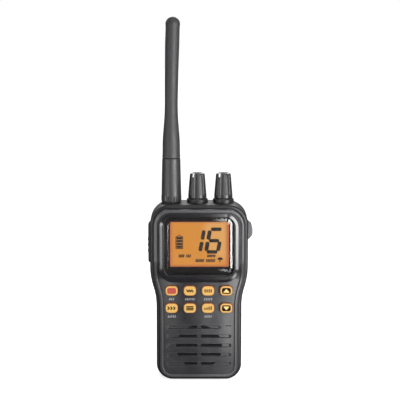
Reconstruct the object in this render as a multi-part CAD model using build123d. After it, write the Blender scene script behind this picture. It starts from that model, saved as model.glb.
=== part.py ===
"""Handheld VHF marine radio: a submersible two-shell case with display, keypad, two top knobs,
a screw-on antenna, a side talk key, a covered accessory jack and a swing-out battery pack
that carries the belt clip.

Millimetres. +Z is up, the display faces -Y and the battery is on +Y.
The origin is on the flat base, on the case's centre plane.
"""

import os
from math import asin, cos, degrees, pi

from build123d import *

# ---- fits shared by many pieces -----------------------------------------------------------
fit_gap = 0.1               # between pieces that are assembled face to face
seam_gap = 0.15             # round the front cover in the housing
over = 1.0                  # how far a cutting solid runs past the surface it cuts

# ---- case: outline seen from the front, depth and walls -----------------------------------
case_height = 112.7
head_half_width = 31.0
grip_half_width = 27.0
head_length = 39.5          # from the top to where the sides start to draw in
waist_length = 25.5         # of the S-curve between head and grip
top_corner = 12.7
bottom_corner = 10.2
front_y = -16.0             # crown of the bead round the front cover
back_y = 15.0
mouth_depth = 4.8           # by which the front cover stands out of the housing
wall = 2.2
back_wall = 2.4
box_wall = 1.6              # of the battery's box inside the housing
rim_round = 1.9
back_round = 3.0

# ---- front cover --------------------------------------------------------------------------
bead_width = 2.05
bead_height = 0.8
bead_outer_round = 1.2
bead_inner_round = 0.5
panel_wall = 1.8
skirt_wall = 1.5
skirt_reach = 3.8           # from the housing's mouth inwards
seal_inset = 1.0
seal_width = 1.3
seal_depth = 0.8

# ---- display, from the head's sides inwards ------------------------------------------------
display_drop = 25.75        # from the case top to the lens middle
valley = 1.7                # flat panel between the bead and the bezel
bezel_side = 2.9
bezel_top = 2.4
bezel_bottom = 4.2
bezel_corner = 8.5
bezel_height = 2.0
bezel_slope = 1.9           # width of the slope round its outside
bezel_slope_depth = 0.7
bezel_edge_round = 0.35
bezel_inner_round = 0.4
lens_gap = 0.5
lens_height = 36.1
lens_thick = 2.1
lens_corner = 4.6
lens_sink = 0.4             # of the lens's seat below the panel
lens_dome = 450.0
lens_bevel = 2.0
lens_bevel_depth = 0.75
lens_edge_round = 0.25
lens_border = 2.75          # black border each side of the picture
lens_border_top = 2.55
view_height = 28.7
view_corner = 0.8
window_margin = 0.55        # of the panel's opening round the picture
glass_margin = 1.35         # of the glass hidden behind the frame
glass_thick = 1.1
guide_thick = 1.6
frame_wall = 0.6

# ---- keypad -------------------------------------------------------------------------------
key_drop = 28.05            # from the lens middle to the top row
key_side = 1.4              # from the grip's bead to the outer keys
key_pitch_z = 11.15
key_columns = 4
key_rows = 2
key_spacing = 3.6           # between the keys of a row
key_height = 6.3
key_corner = 2.5
key_stand = 1.9             # of a key above the panel
key_round = 0.7
key_travel = 0.7
key_gap = 0.22
key_flange = 0.8
key_flange_thick = 0.8
sheet_gap = 0.35
sheet_rim = 0.8
post_width = 4.4
post_height = 3.2
post_corner = 1.0

# ---- speaker and microphone ---------------------------------------------------------------
speaker_foot_gap = 3.55     # from the cover's foot wall up to the speaker
speaker_top_gap = 6.05      # from the speaker up to the keypad sheet
speaker_depth = 4.6
speaker_rim = 1.2
speaker_rim_depth = 1.4
magnet_share = 0.55         # of the speaker's radius
cone_thick = 0.6
cone_share = 0.41           # of the speaker's radius, flat in the cone's middle
slot_count = 5
slot_top_drop = 1.5         # of the first groove below the speaker's top
slot_foot_rise = 3.9        # of the last groove above the speaker's foot
slot_height = 2.6
slot_side = 2.0             # from the grip's bead to the groove ends
slot_depth = 0.9
slot_draft = 30.0
slot_ramp = 1.7             # length of the slope at each end of a groove
top_slot_short = 6.7        # the first groove stops short of the microphone
vent_height = 1.5
vent_rib = 2.3
membrane_margin = 0.8
membrane_thick = 0.25
mic_rise = 0.9              # of the microphone above the first groove
mic_side = 2.0
mic_slot_width = 3.4
mic_slot_height = 0.9
mic_radius = 2.0
mic_depth = 2.5
boot_wall = 0.8
boot_floor = 0.5

# ---- boards and chassis -------------------------------------------------------------------
board_thick = 1.2
board_gap = 0.55
board_corner = 3.0
board_spacing = 5.4
control_board_foot = 6.5    # below the bottom row of keys
control_board_top_gap = 5.5
main_board_low = 12.0
main_board_top_gap = 22.5
chassis_low = 26.0
chassis_thick = 1.4
chassis_rib = 1.5
chassis_rib_width = 2.0
chassis_rib_pitch = 12.0
chassis_rib_margin = 4.0
standoff_radius = 2.0
standoff_side = 2.6
standoff_low_drop = 5.0     # below the bottom row of keys
standoff_high_rise = 10.3   # above the top row of keys
can_width = 26.0
can_height = 30.0
can_depth = 4.4
can_corner = 1.0
can_sheet = 0.4
can_rise = 15.0             # of the can's foot above the chassis foot

# ---- fasteners ----------------------------------------------------------------------------
case_screw_radius = 1.1
case_screw_head = 2.1
case_screw_head_depth = 1.6
case_screw_play = 0.2
case_screw_grip = 7.0       # length in the front cover's boss
case_screw_top_side = 7.4
case_screw_top_drop = 8.6
case_screw_foot_side = 9.0
case_screw_foot_rise = 7.5
cross_length = 3.2
cross_width = 0.7
cross_depth = 0.8
housing_post_radius = 2.6
boss_radius = 2.4
boss_length = 11.3
board_screw_radius = 0.9
board_screw_head = 1.8
board_screw_head_depth = 1.0
board_screw_length = 4.5

# ---- top controls -------------------------------------------------------------------------
controls_y = 2.0
squelch_side = 15.5         # from the head's right side
knob_height = 15.7
knob_gap = 0.4
knob_base_radius = 5.85
knob_top_radius = 4.7
knob_crown_radius = 3.1
knob_crown_height = 0.7
knob_top_round = 1.0
knob_skirt = 1.5
flute_count = 12
flute_radius = 0.75
flute_bite = 0.42
collar_radius = 6.7
collar_height = 2.8
collar_chamfer = 0.8
shaft_radius = 1.5
shaft_play = 0.06
shaft_short = 4.0           # from the knob's crown down to the shaft's end
bushing_radius = 3.2
bushing_short = 0.8
bushing_play = 0.4
bushing_sink = 0.4
control_size = 10.0
control_body = 8.0
control_gap = 0.3
shaft_depth = 4.0           # of the shaft inside the control

# ---- antenna ------------------------------------------------------------------------------
antenna_side = 13.4         # from the head's left side
antenna_pad_height = 6.0
antenna_seal_thick = 0.5
antenna_seal_step = 1.0
grip_ring_radius = 6.4
grip_ring_height = 3.8
grip_ring_round = 0.5
notch_count = 7
notch_radius = 1.6
notch_bite = 0.75
notch_start = 0.7
sleeve_length = 23.9
sleeve_base_radius = 6.3
sleeve_top_radius = 5.8
sleeve_bevel = 0.3
whip_length = 88.9
whip_seam = 0.2
whip_neck_radius = 4.1
whip_neck_rise = 35.0
whip_tip_radius = 4.6
whip_set = 1.3              # sideways at the tip, that the rubber has taken
whip_set_start = 15.0
whip_sections = 8
stud_radius = 3.17
stud_height = 6.6
stud_body = 6.0
stud_play = 0.05
insert_radius = 4.6
insert_height = 8.0
insert_pin_start = 2.0
core_radius = 1.6
core_short = 7.5
pin_radius = 0.45
pin_play = 0.2

# ---- talk key -----------------------------------------------------------------------------
talk_drop = 25.5            # from the case top to the key's middle
talk_mid_y = 1.0
talk_height = 26.0
talk_width = 13.4
talk_corner = 5.0
talk_proud = 1.3
talk_round = 1.1
talk_gap = 0.3
talk_travel = 0.9
talk_rib_pitch = 3.7
talk_rib_count = 3
talk_rib_radius = 1.1
talk_rib_proud = 0.4
talk_rib_drop = 1.3
talk_rib_end = 2.2
talk_flange = 1.2
talk_flange_thick = 1.0
talk_post_radius = 1.8
talk_post_length = 0.8
switch_depth = 2.9
switch_height = 6.0
switch_seat = 2.5
plunger_radius = 1.2
plunger_length = 0.8

# ---- accessory jack -----------------------------------------------------------------------
jack_drop = 17.3            # from the case top to the jack
jack_y = -0.5
jack_bore_radius = 1.8
jack_bore_length = 14.0
jack_end_wall = 1.0
jack_body = 8.0
jack_nose_radius = 3.4
jack_mouth_sink = 0.2
flap_height = 10.7
flap_proud = 3.0
flap_front = -6.5
flap_back = 5.6
flap_round = 1.2
flap_hinge_y = 9.4
flap_strap = 1.0
flap_strap_inset = 1.2
flap_strap_gap = 0.15
flap_gap = 0.15
nub_width = 8.4
nub_height = 6.4
nub_corner = 2.0
nub_depth = 1.3
nub_play = 0.3
anchor_width = 2.6
anchor_corner = 1.0
anchor_proud = 0.3

# ---- battery pack -------------------------------------------------------------------------
hook_drop = 36.5            # from the case top to the axis the pack swings on
hook_inset = 2.4            # of that axis from the back
hook_radius = 1.0
hook_play = 0.25
hook_x = 12.0
hook_width = 7.6
hook_neck = 1.3
hook_roof = 3.0             # from the axis up to the head cavity
lip_drop = 0.6              # from the axis down to the lip
recess = 1.9
cover_side = 4.2            # from the grip's side to the pack cover
cover_low = 4.2
cover_top_gap = 1.0
cover_thick = 3.7
cover_lift = 0.2
cover_corner = 5.0
cover_round = 1.2
pack_side = 1.8             # by which the pack's inner case is narrower than its cover
pack_top_gap = 2.1
pack_floor = 11.9           # lowest point of the pack's round lower end
pack_play = 0.3
pack_wall = 1.1
pack_foot = 2.2
cell_gap = 0.3
cell_round = 2.0
terminal_x = 6.0
terminal_z = 19.0
terminal_width = 2.4
terminal_height = 6.0
terminal_play = 0.2
terminal_gap = 0.05
pad_margin = 0.3
pad_thick = 0.5

# ---- lock screw ---------------------------------------------------------------------------
lock_z = 8.2
lock_head_radius = 3.4
lock_head_thick = 1.6
lock_slot_width = 1.4
lock_slot_depth = 0.9
lock_shank_radius = 1.5
lock_grip = 4.3             # length in the housing's insert
lock_washer = 0.5
lock_washer_step = 0.2
lock_play = 0.15
lock_hole_play = 0.4
insert_wall = 1.2
insert_floor = 0.8
insert_seat = 1.2           # housing plastic round the insert

# ---- belt clip ----------------------------------------------------------------------------
clip_base_width = 24.0
clip_base_height = 28.0
clip_base_drop = 5.4        # from the top of the pack cover
clip_base_thick = 2.0
clip_base_corner = 3.0
clip_pin_drop = 10.0
clip_pin_stand = 6.6        # of the pin above the pack cover
clip_pin_radius = 1.0
clip_pin_play = 0.06
clip_ear = 2.0
clip_ear_radius = 2.6
clip_side_play = 0.3
clip_ear_step = 0.7         # of the finger's ears beyond its sides
clip_plate = 2.2
clip_stand = 8.8            # of the finger's inner face above the pack cover
clip_thumb = 15.0           # above the pin
clip_corner = 5.0
clip_bend_rise = 12.0       # above the foot
clip_foot_rise = 9.8        # above the lock screw
clip_foot_gap = 0.3
clip_toe = 4.5
clip_toe_kick = 2.0
clip_bend_round = 8.0
clip_foot_round = 3.0
clip_rib_radius = 0.6
clip_rib_count = 4
clip_rib_pitch = 2.4
clip_screw_inset = 4.5
clip_screw_radius = 1.25
clip_screw_head = 2.4
clip_screw_head_depth = 1.2
clip_screw_floor = 0.7
spring_thick = 0.5
spring_width = 5.0
spring_gap = 0.05
spring_round = 2.0
spring_foot = 5.0
spring_top_drop = 4.0

# ---- base and strap -----------------------------------------------------------------------
contact_radius = 1.6
contact_x = 6.0
contact_y = 8.0
contact_sink = 0.2
eyelet_x = -14.0
eyelet_drop = 10.5
eyelet_hole = 1.8
eyelet_wall = 1.8
eyelet_lift = 0.2
eyelet_width = 4.0
eyelet_plate = 1.2
eyelet_plate_margin = 2.0
eyelet_plate_height = 10.0
eyelet_plate_corner = 1.5

# ---- depths, front to back ----------------------------------------------------------------
mouth_y = front_y + mouth_depth
seal_front = mouth_y + seal_inset
skirt_end = mouth_y + skirt_reach
panel_y = front_y + bead_height
panel_back = panel_y + panel_wall
bezel_y = panel_y - bezel_height
lens_back = panel_y + lens_sink
lens_crown = lens_back - lens_thick
lcd_frame_y = panel_back + fit_gap
glass_y = lcd_frame_y + frame_wall
guide_y = glass_y + glass_thick
control_board_y = guide_y + guide_thick + fit_gap
main_board_y = control_board_y + board_thick + board_spacing
chassis_y = main_board_y + board_thick
box_front = chassis_y + chassis_thick + chassis_rib + fit_gap
bay_front = box_front + box_wall
boss_end = panel_back + boss_length
key_crown = panel_y - key_stand
key_flange_y = panel_back + key_gap
recess_floor = back_y - recess
box_back = recess_floor - box_wall
head_cavity_back = back_y - back_wall
cover_front = recess_floor + cover_lift
cover_back = cover_front + cover_thick
pack_front = bay_front + pack_play
hook_y = back_y - hook_inset
lock_tip = recess_floor - lock_grip
lock_head_y = cover_back - lock_head_thick
clip_pin_y = cover_back + clip_pin_stand
clip_inner_y = cover_back + clip_stand

# ---- widths -------------------------------------------------------------------------------
cover_inset = wall + seam_gap
panel_inset = cover_inset + bead_width
grip_panel = grip_half_width - panel_inset
lens_width = 2 * (head_half_width - panel_inset - valley - bezel_side - lens_gap)
view_width = lens_width - 2 * lens_border
key_width = (2 * (grip_panel - key_side) - (key_columns - 1) * key_spacing) / key_columns
key_pitch_x = key_width + key_spacing
slot_end = grip_panel - slot_side
mic_x = slot_end - mic_side
board_half_width = grip_half_width - cover_inset - skirt_wall - board_gap
standoff_x = board_half_width - standoff_side
squelch_x = head_half_width - squelch_side
antenna_x = antenna_side - head_half_width
volume_x = (antenna_x + squelch_x) / 2
cover_half_width = grip_half_width - cover_side
pack_half_width = cover_half_width - pack_side
clip_ear_end = clip_base_width / 2 - clip_ear - clip_side_play
clip_width = 2 * (clip_ear_end - clip_ear_step)
talk_inner_x = -head_half_width + wall + seam_gap
flap_x = head_half_width + flap_gap

# ---- heights ------------------------------------------------------------------------------
waist_high = case_height - head_length
waist_low = waist_high - waist_length
top_inner = case_height - wall
display_mid = case_height - display_drop
view_mid = display_mid + (lens_height - view_height) / 2 - lens_border_top
key_top_row = display_mid - key_drop
key_bottom_row = key_top_row - (key_rows - 1) * key_pitch_z
keypad_low = key_bottom_row - key_height / 2 - key_flange - sheet_gap - sheet_rim
speaker_low = cover_inset + skirt_wall + speaker_foot_gap
speaker_high = keypad_low - speaker_top_gap
speaker_radius = (speaker_high - speaker_low) / 2
speaker_mid = (speaker_high + speaker_low) / 2
slot_top = speaker_high - slot_top_drop
slot_pitch = (slot_top - speaker_low - slot_foot_rise) / (slot_count - 1)
mic_z = slot_top + mic_rise
control_board_low = key_bottom_row - control_board_foot
control_board_high = case_height - control_board_top_gap
main_board_high = case_height - main_board_top_gap
can_mid = chassis_low + can_rise + can_height / 2
hook_z = case_height - hook_drop
head_floor = hook_z + hook_roof
lip_low = hook_z - lip_drop
cover_high = lip_low - cover_top_gap
pack_top = lip_low - pack_top_gap
pack_swing = hook_z - pack_floor
cell_low = pack_floor + pack_wall + pack_foot
collar_top = case_height + collar_height
knob_base = collar_top + knob_gap
knob_top = knob_base + knob_height
grip_ring_low = case_height + antenna_seal_thick
sleeve_low = grip_ring_low + grip_ring_height
whip_low = sleeve_low + sleeve_length + whip_seam
antenna_top = whip_low + whip_length
talk_z = case_height - talk_drop
jack_z = case_height - jack_drop
eyelet_z = case_height - eyelet_drop
clip_base_high = cover_high - clip_base_drop
clip_base_low = clip_base_high - clip_base_height
clip_pin_z = clip_base_high - clip_pin_drop
clip_top = clip_pin_z + clip_thumb
clip_foot = lock_z + clip_foot_rise
clip_bend = clip_foot + clip_bend_rise


# ---- shapes that many pieces use ----------------------------------------------------------


def case_outline(inset=0.0):
    """Front view of the case, drawn inward by inset: two widths joined by an S-curve."""
    grip, head = grip_half_width - inset, head_half_width - inset
    low, high = inset, case_height - inset
    foot, crown = bottom_corner - inset, top_corner - inset
    step, rise = (head_half_width - grip_half_width) / 2, (waist_high - waist_low) / 2
    bend = (step**2 + rise**2) / (2 * step)
    turn = degrees(asin(rise / bend))
    right = [
        Line((0, low), (grip - foot, low)),
        CenterArc((grip - foot, bottom_corner), foot, -90, 90),
        Line((grip, bottom_corner), (grip, waist_low)),
        CenterArc((grip_half_width + bend, waist_low), bend + inset, 180, -turn),
        CenterArc((head_half_width - bend, waist_high), bend - inset, -turn, turn),
        Line((head, waist_high), (head, case_height - top_corner)),
        CenterArc((head - crown, case_height - top_corner), crown, 0, 90),
        Line((head - crown, high), (0, high)),
    ]
    left = [mirror(edge, about=Plane.YZ) for edge in right]
    return make_face([*right, *left])


def slab(profile, y_front, y_back):
    """Extrudes a front-view profile between two depths."""
    return extrude(Plane.XZ.offset(-y_back) * profile, amount=y_back - y_front)


def rounded(width, height, radius, x=0.0, z=0.0):
    """Front-view rounded rectangle about (x, z)."""
    return Pos(x, z) * RectangleRounded(width, height, radius)


def box(x, y, z):
    """Block between two limits on each axis, each given as a pair."""
    size = [limits[1] - limits[0] for limits in (x, y, z)]
    return Pos(*(sum(limits) / 2 for limits in (x, y, z))) * Box(*size)


def about(middle, width):
    """Pair of limits round a middle."""
    return (middle - width / 2, middle + width / 2)


def rod(axis, radius, start, length):
    """Round bar from a start point along +X, +Y or +Z."""
    turn = {"x": Rot(0, 90, 0), "y": Rot(-90, 0, 0), "z": Rot(0, 0, 0)}[axis]
    bar = Cylinder(radius, length, align=(Align.CENTER, Align.CENTER, Align.MIN))
    return Pos(*start) * turn * bar


def side_oblong(x, width, height, radius):
    """Rounded rectangle about the talk key's middle, facing -X."""
    place = Plane((x, talk_mid_y, talk_z), x_dir=(0, -1, 0), z_dir=(-1, 0, 0))
    return place * RectangleRounded(width, height, radius)


def right_oblong(x, y, width, height, radius):
    """Rounded rectangle at the jack's height, facing +X."""
    place = Plane((x, y, jack_z), x_dir=(0, 1, 0), z_dir=(1, 0, 0))
    return place * RectangleRounded(width, height, radius)


def front_edges(solid):
    return solid.faces().sort_by(Axis.Y)[0].edges()


def back_edges(solid):
    return solid.faces().sort_by(Axis.Y)[-1].edges()


def both_sides(x, z):
    return [(x, z), (-x, z)]


case_screws_high = both_sides(head_half_width - case_screw_top_side, case_height - case_screw_top_drop)
case_screws_low = both_sides(grip_half_width - case_screw_foot_side, case_screw_foot_rise)
case_screw_seats = [(x, z, back_y, head_cavity_back) for x, z in case_screws_high]
case_screw_seats += [(x, z, recess_floor, box_back) for x, z in case_screws_low]
board_screw_places = both_sides(standoff_x, key_bottom_row - standoff_low_drop)
board_screw_places += both_sides(standoff_x, key_top_row + standoff_high_rise)
slot_places = [slot_top - n * slot_pitch for n in range(slot_count)]
terminal_places = (-terminal_x, 0, terminal_x)
clip_screw_places = (clip_base_low + clip_screw_inset, clip_base_high - clip_screw_inset)
key_names = ["distress", "weather", "region", "channel_up", "scan", "memory", "power", "channel_down"]
key_places = [
    ((column - (key_columns - 1) / 2) * key_pitch_x, key_top_row - row * key_pitch_z)
    for row in range(key_rows)
    for column in range(key_columns)
]


# ---- case shells --------------------------------------------------------------------------


def housing_shell():
    """Tub that holds everything: electronics from the front, battery pack from the back."""
    tub = slab(case_outline(), mouth_y, back_y)
    tub = fillet(front_edges(tub), rim_round)
    tub = fillet(back_edges(tub), back_round)
    tub += antenna_pad() + knob_collar(volume_x) + knob_collar(squelch_x)
    tub -= slab(case_outline(wall), mouth_y - over, box_front)
    tub -= slab(case_outline(wall) - battery_box_outline(), box_front - over, box_back)
    tub -= slab(case_outline(wall) & above(head_floor), box_back - over, head_cavity_back)
    for x, z, seat, inner in case_screw_seats:
        start = boss_end + seam_gap
        tub += rod("y", housing_post_radius, (x, start, z), inner - start + fit_gap)
        tub -= rod("y", case_screw_radius + case_screw_play, (x, start - over, z), seat - start)
        tub -= rod("y", case_screw_head + case_screw_play, (x, seat - case_screw_head_depth, z), back_y)
    tub += rod("y", lock_post_radius(), (0, box_front, lock_z), box_back - box_front + fit_gap)
    tub -= lock_insert_outline(recess_floor + over)
    tub -= battery_bay() + hook_sockets() + terminal_slots()
    tub -= talk_opening() + jack_opening() + top_holes()
    for x in (-contact_x, contact_x):
        tub -= rod("z", contact_radius, (x, contact_y, -over), wall + 2 * over)
    return tub


def above(level):
    """Everything in front view above a height."""
    return Pos(0, level + case_height / 2) * Rectangle(3 * head_half_width, case_height)


def battery_box_outline():
    """Front view of the walled box that the battery pack sits in."""
    half = pack_half_width + pack_play + box_wall
    low = pack_floor - pack_play - box_wall
    return Pos(0, (low + head_floor) / 2) * Rectangle(2 * half, head_floor - low)


def antenna_pad():
    """Round flat on the case corner under the antenna."""
    foot = (antenna_x, controls_y, case_height - antenna_pad_height)
    return rod("z", grip_ring_radius, foot, antenna_pad_height)


def knob_collar(x):
    """Raised ring that guards the seal under a knob."""
    ring = rod("z", collar_radius, (x, controls_y, case_height - wall), collar_height + wall)
    return chamfer(ring.faces().sort_by(Axis.Z)[-1].edges(), collar_chamfer)


def top_holes():
    """Holes in the top for the antenna socket and the two controls."""
    holes = rod("z", stud_radius + fit_gap, (antenna_x, controls_y, top_inner - over), wall + 2 * over)
    for x in (volume_x, squelch_x):
        holes += rod("z", bushing_radius + fit_gap, (x, controls_y, top_inner - over), 3 * wall)
    return holes


def battery_bay():
    """Space for the pack and its cover, round at the foot so that the pack can swing."""
    swing = rod("x", pack_swing + pack_play, (-head_half_width, hook_y, hook_z), 2 * head_half_width)
    half = pack_half_width + pack_play
    bay = box((-half, half), (bay_front, back_y), (0, pack_top + pack_play)) & swing
    low = cover_low - pack_play
    cover = rounded(2 * (cover_half_width + pack_play), lip_low - low, cover_corner, 0, (lip_low + low) / 2)
    return bay + slab(cover, recess_floor, back_y + over)


def hook_sockets():
    """Sockets in the lip for the pack's hooks, open towards the pack."""
    socket = hook_radius + hook_play
    cut = Part()
    for x in (-hook_x, hook_x):
        ends = about(x, hook_width + 2 * pack_play)
        cut += rod("x", socket, (ends[0], hook_y, hook_z), ends[1] - ends[0])
        cut += box(ends, (hook_y - socket, hook_y + socket), (pack_top, hook_z))
    return cut


def terminal_slots():
    """Slots in the box's front wall for the terminal blades."""
    cut = Part()
    for x in terminal_places:
        width, height = terminal_width + 2 * terminal_play, terminal_height + 2 * terminal_play
        cut += box(about(x, width), (box_front - over, bay_front + over), about(terminal_z, height))
    return cut


def talk_opening():
    """Oblong hole in the left wall for the talk key."""
    width, height = talk_width + 2 * talk_gap, talk_height + 2 * talk_gap
    hole = side_oblong(-head_half_width, width, height, talk_corner + talk_gap)
    return extrude(hole, amount=wall + over, both=True)


def jack_opening():
    """Recess for the flap's nub, the hole to the jack and the hole for the flap's anchor."""
    width, height = nub_width + 2 * nub_play, nub_height + 2 * nub_play
    recess_face = right_oblong(head_half_width, jack_y, width, height, nub_corner + nub_play)
    cut = extrude(recess_face, amount=nub_depth + fit_gap, both=True)
    start = (head_half_width - wall - over, jack_y, jack_z)
    cut += rod("x", jack_nose_radius + fit_gap, start, wall + 2 * over)
    return cut + jack_flap_anchor()


def front_cover():
    """Front moulding: bead, recessed panel, display pocket, key holes, grille, bosses and skirt."""
    cover = slab(case_outline(cover_inset), front_y, panel_back)
    cover = fillet(front_edges(cover), bead_outer_round)
    cover -= slab(case_outline(panel_inset), front_y - over, panel_y)
    cover = fillet(bead_crest(cover), bead_inner_round)
    skirt = slab(case_outline(cover_inset), panel_back, skirt_end)
    cover += skirt - slab(case_outline(cover_inset + skirt_wall), panel_back - over, skirt_end + over)
    cover -= case_seal() + display_pocket() + grille()
    for x, z in key_places:
        hole = rounded(key_width + 2 * key_gap, key_height + 2 * key_gap, key_corner + key_gap, x, z)
        cover -= slab(hole, front_y, panel_back + over)
    mic_slot = Pos(mic_x, mic_z) * SlotOverall(mic_slot_width, mic_slot_height)
    cover -= slab(mic_slot, front_y, panel_back + over)
    for x, z in case_screws_high + case_screws_low:
        boss = rod("y", boss_radius, (x, panel_back - fit_gap, z), boss_length + fit_gap)
        cover += boss - rod("y", case_screw_radius, (x, panel_back + over, z), boss_length)
    return cover


def bead_crest(cover):
    """Inner top edge of the bead, where it falls to the panel."""
    flat = [face for face in cover.faces() if abs(face.center().Y - front_y) < fit_gap / 2]
    ring = max(flat, key=lambda face: face.bounding_box().size.Z)
    return ring.inner_wires()[0].edges()


def display_pocket():
    """Seat for the lens and the opening to the display behind it."""
    width, height = lens_width + 2 * lens_gap, lens_height + 2 * lens_gap
    seat = slab(rounded(width, height, lens_corner + lens_gap, 0, display_mid), front_y, lens_back)
    return seat + slab(window_outline(window_margin), front_y, panel_back + over)


def window_outline(margin):
    """The display picture with a margin round it."""
    return rounded(view_width + 2 * margin, view_height + 2 * margin, view_corner, 0, view_mid)


def grille():
    """Shallow grooves across the panel, opened to the speaker inside its circle."""
    cut = Part()
    for place in slot_places:
        right = slot_end - top_slot_short if place == slot_places[0] else slot_end
        cut += groove(-slot_end, right, place)
        vent = Pos(0, place) * Rectangle(2 * speaker_radius, vent_height)
        vent &= Pos(0, speaker_mid) * Circle(speaker_radius)
        vent -= Pos(0, place) * Rectangle(vent_rib, slot_height)
        cut += slab(vent, panel_y, panel_back + over)
    return cut


def groove(left, right, z):
    """Groove between two ends, with drafted sides and a slope at each end."""
    outline = Pos((left + right) / 2, z) * SlotOverall(right - left, slot_height)
    cut = extrude(Plane.XZ.offset(-panel_y) * outline, amount=-slot_depth, taper=slot_draft)
    cut += slab(outline, panel_y - over, panel_y)
    floor = panel_y + slot_depth
    for end, inwards in ((left, slot_ramp), (right, -slot_ramp)):
        slope = Polyline((end, panel_y), (end, floor), (end + inwards, floor), close=True)
        cut -= Pos(0, 0, z) * extrude(make_face(slope.edges()), amount=slot_height, both=True)
    return cut


def case_seal():
    """Square-section ring in the groove of the front cover's skirt."""
    end = seal_front + seal_width
    ring = slab(case_outline(cover_inset), seal_front, end)
    return ring - slab(case_outline(cover_inset + seal_depth), seal_front - over, end + over)


# ---- display ------------------------------------------------------------------------------


def display_bezel():
    """Sloping trim ring that stands on the panel round the lens."""
    width, height = lens_width + 2 * lens_gap, lens_height + 2 * lens_gap
    middle = display_mid + (bezel_top - bezel_bottom) / 2
    outer = rounded(width + 2 * bezel_side, height + bezel_top + bezel_bottom, bezel_corner, 0, middle)
    ring = slab(outer, bezel_y, panel_y)
    face = ring.faces().sort_by(Axis.Y)[0]
    ring = chamfer(face.edges(), bezel_slope, bezel_slope_depth, reference=face)
    ring = fillet(ring.edges().group_by(Axis.Y)[2], bezel_edge_round)
    hole = rounded(width, height, lens_corner + lens_gap, 0, display_mid)
    ring -= slab(hole, bezel_y - over, panel_y + over)
    return fillet(ring.faces().sort_by(Axis.Y)[0].inner_wires()[0].edges(), bezel_inner_round)


def display_lens():
    """Clear cover with a slightly domed face and a wide bevel round it."""
    lens = slab(rounded(lens_width, lens_height, lens_corner, 0, display_mid), lens_crown, lens_back)
    lens &= Pos(0, lens_crown + lens_dome, display_mid) * Sphere(lens_dome)
    face = lens.faces().sort_by(Axis.Y)[0]
    lens = chamfer(face.edges(), lens_bevel, lens_bevel_depth, reference=face)
    return fillet(front_edges(lens), lens_edge_round)


def lcd_frame():
    """Black tray that carries the display glass and its light guide."""
    tray = slab(window_outline(glass_margin + frame_wall), lcd_frame_y, control_board_y)
    tray -= slab(window_outline(glass_margin), glass_y, control_board_y + over)
    return tray - slab(window_outline(0), lcd_frame_y - over, glass_y + over)


def lcd_panel():
    """Display glass."""
    return slab(window_outline(glass_margin - fit_gap), glass_y, guide_y)


def light_guide():
    """Clear sheet behind the glass that spreads the amber lamps' light."""
    return slab(window_outline(glass_margin - fit_gap), guide_y, guide_y + guide_thick)


# ---- keypad -------------------------------------------------------------------------------


def key(x, z):
    """Rubber key: crown, retaining flange and contact post."""
    flange_end = key_flange_y + key_flange_thick
    cap = slab(rounded(key_width, key_height, key_corner, x, z), key_crown, flange_end)
    cap = fillet(front_edges(cap), key_round)
    cap += slab(key_flange_outline(x, z, key_flange), key_flange_y, flange_end)
    post_end = control_board_y - key_travel - key_gap
    return cap + slab(rounded(post_width, post_height, post_corner, x, z), key_flange_y, post_end)


def key_flange_outline(x, z, margin):
    return rounded(key_width + 2 * margin, key_height + 2 * margin, key_corner, x, z)


def keypad_sheet():
    """Silicone sheet behind the panel, open round each key."""
    margin = 2 * (key_flange + sheet_gap + sheet_rim)
    width = (key_columns - 1) * key_pitch_x + key_width + margin
    height = (key_rows - 1) * key_pitch_z + key_height + margin
    sheet = rounded(width, height, key_corner, 0, (key_top_row + key_bottom_row) / 2)
    for x, z in key_places:
        sheet -= key_flange_outline(x, z, key_flange + sheet_gap)
    return slab(sheet, panel_back + fit_gap, key_flange_y + key_flange_thick)


# ---- sound --------------------------------------------------------------------------------


def speaker_membrane():
    """Water-tight film behind the grille."""
    return rod("y", speaker_radius + membrane_margin, (0, panel_back, speaker_mid), membrane_thick)


def speaker():
    """Frame ring with its magnet."""
    front = panel_back + membrane_thick
    frame = rod("y", speaker_radius, (0, front, speaker_mid), speaker_rim_depth)
    frame -= rod("y", speaker_radius - speaker_rim, (0, front - over, speaker_mid), 2 * over)
    magnet_radius = magnet_share * speaker_radius
    magnet = rod("y", magnet_radius, (0, front + over, speaker_mid), speaker_depth - over)
    return frame + magnet


def speaker_cone():
    """Shallow cone inside the speaker's frame."""
    outer = speaker_radius - speaker_rim - fit_gap
    cone = Rot(90, 0, 0) * Cone(cone_share * speaker_radius, outer, cone_thick)
    return Pos(0, panel_back + membrane_thick + fit_gap + cone_thick / 2, speaker_mid) * cone


def microphone_boot():
    """Rubber cup that seals the microphone to the panel."""
    cup = rod("y", mic_radius + boot_wall, (mic_x, panel_back, mic_z), boot_floor + mic_depth)
    cup -= microphone()
    return cup - rod("y", mic_slot_height / 2, (mic_x, panel_back - over, mic_z), 2 * over)


def microphone():
    return rod("y", mic_radius, (mic_x, panel_back + boot_floor, mic_z), mic_depth)


# ---- boards and chassis -------------------------------------------------------------------


def board_outline(low, high):
    return rounded(2 * board_half_width, high - low, board_corner, 0, (low + high) / 2)


def control_board():
    """Front circuit board, behind the display and the keys."""
    board = board_outline(control_board_low, control_board_high)
    for x, z in case_screws_high:
        board -= Pos(x, z) * Circle(boss_radius + board_gap)
    for x, z in board_screw_places:
        board -= Pos(x, z) * Circle(board_screw_radius + fit_gap)
    return slab(board, control_board_y, control_board_y + board_thick)


def main_board():
    """Rear circuit board, with the transmitter."""
    board = board_outline(main_board_low, main_board_high)
    for x, z in board_screw_places:
        board -= Pos(x, z) * Circle(standoff_radius + fit_gap)
    return slab(board, main_board_y, chassis_y)


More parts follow.
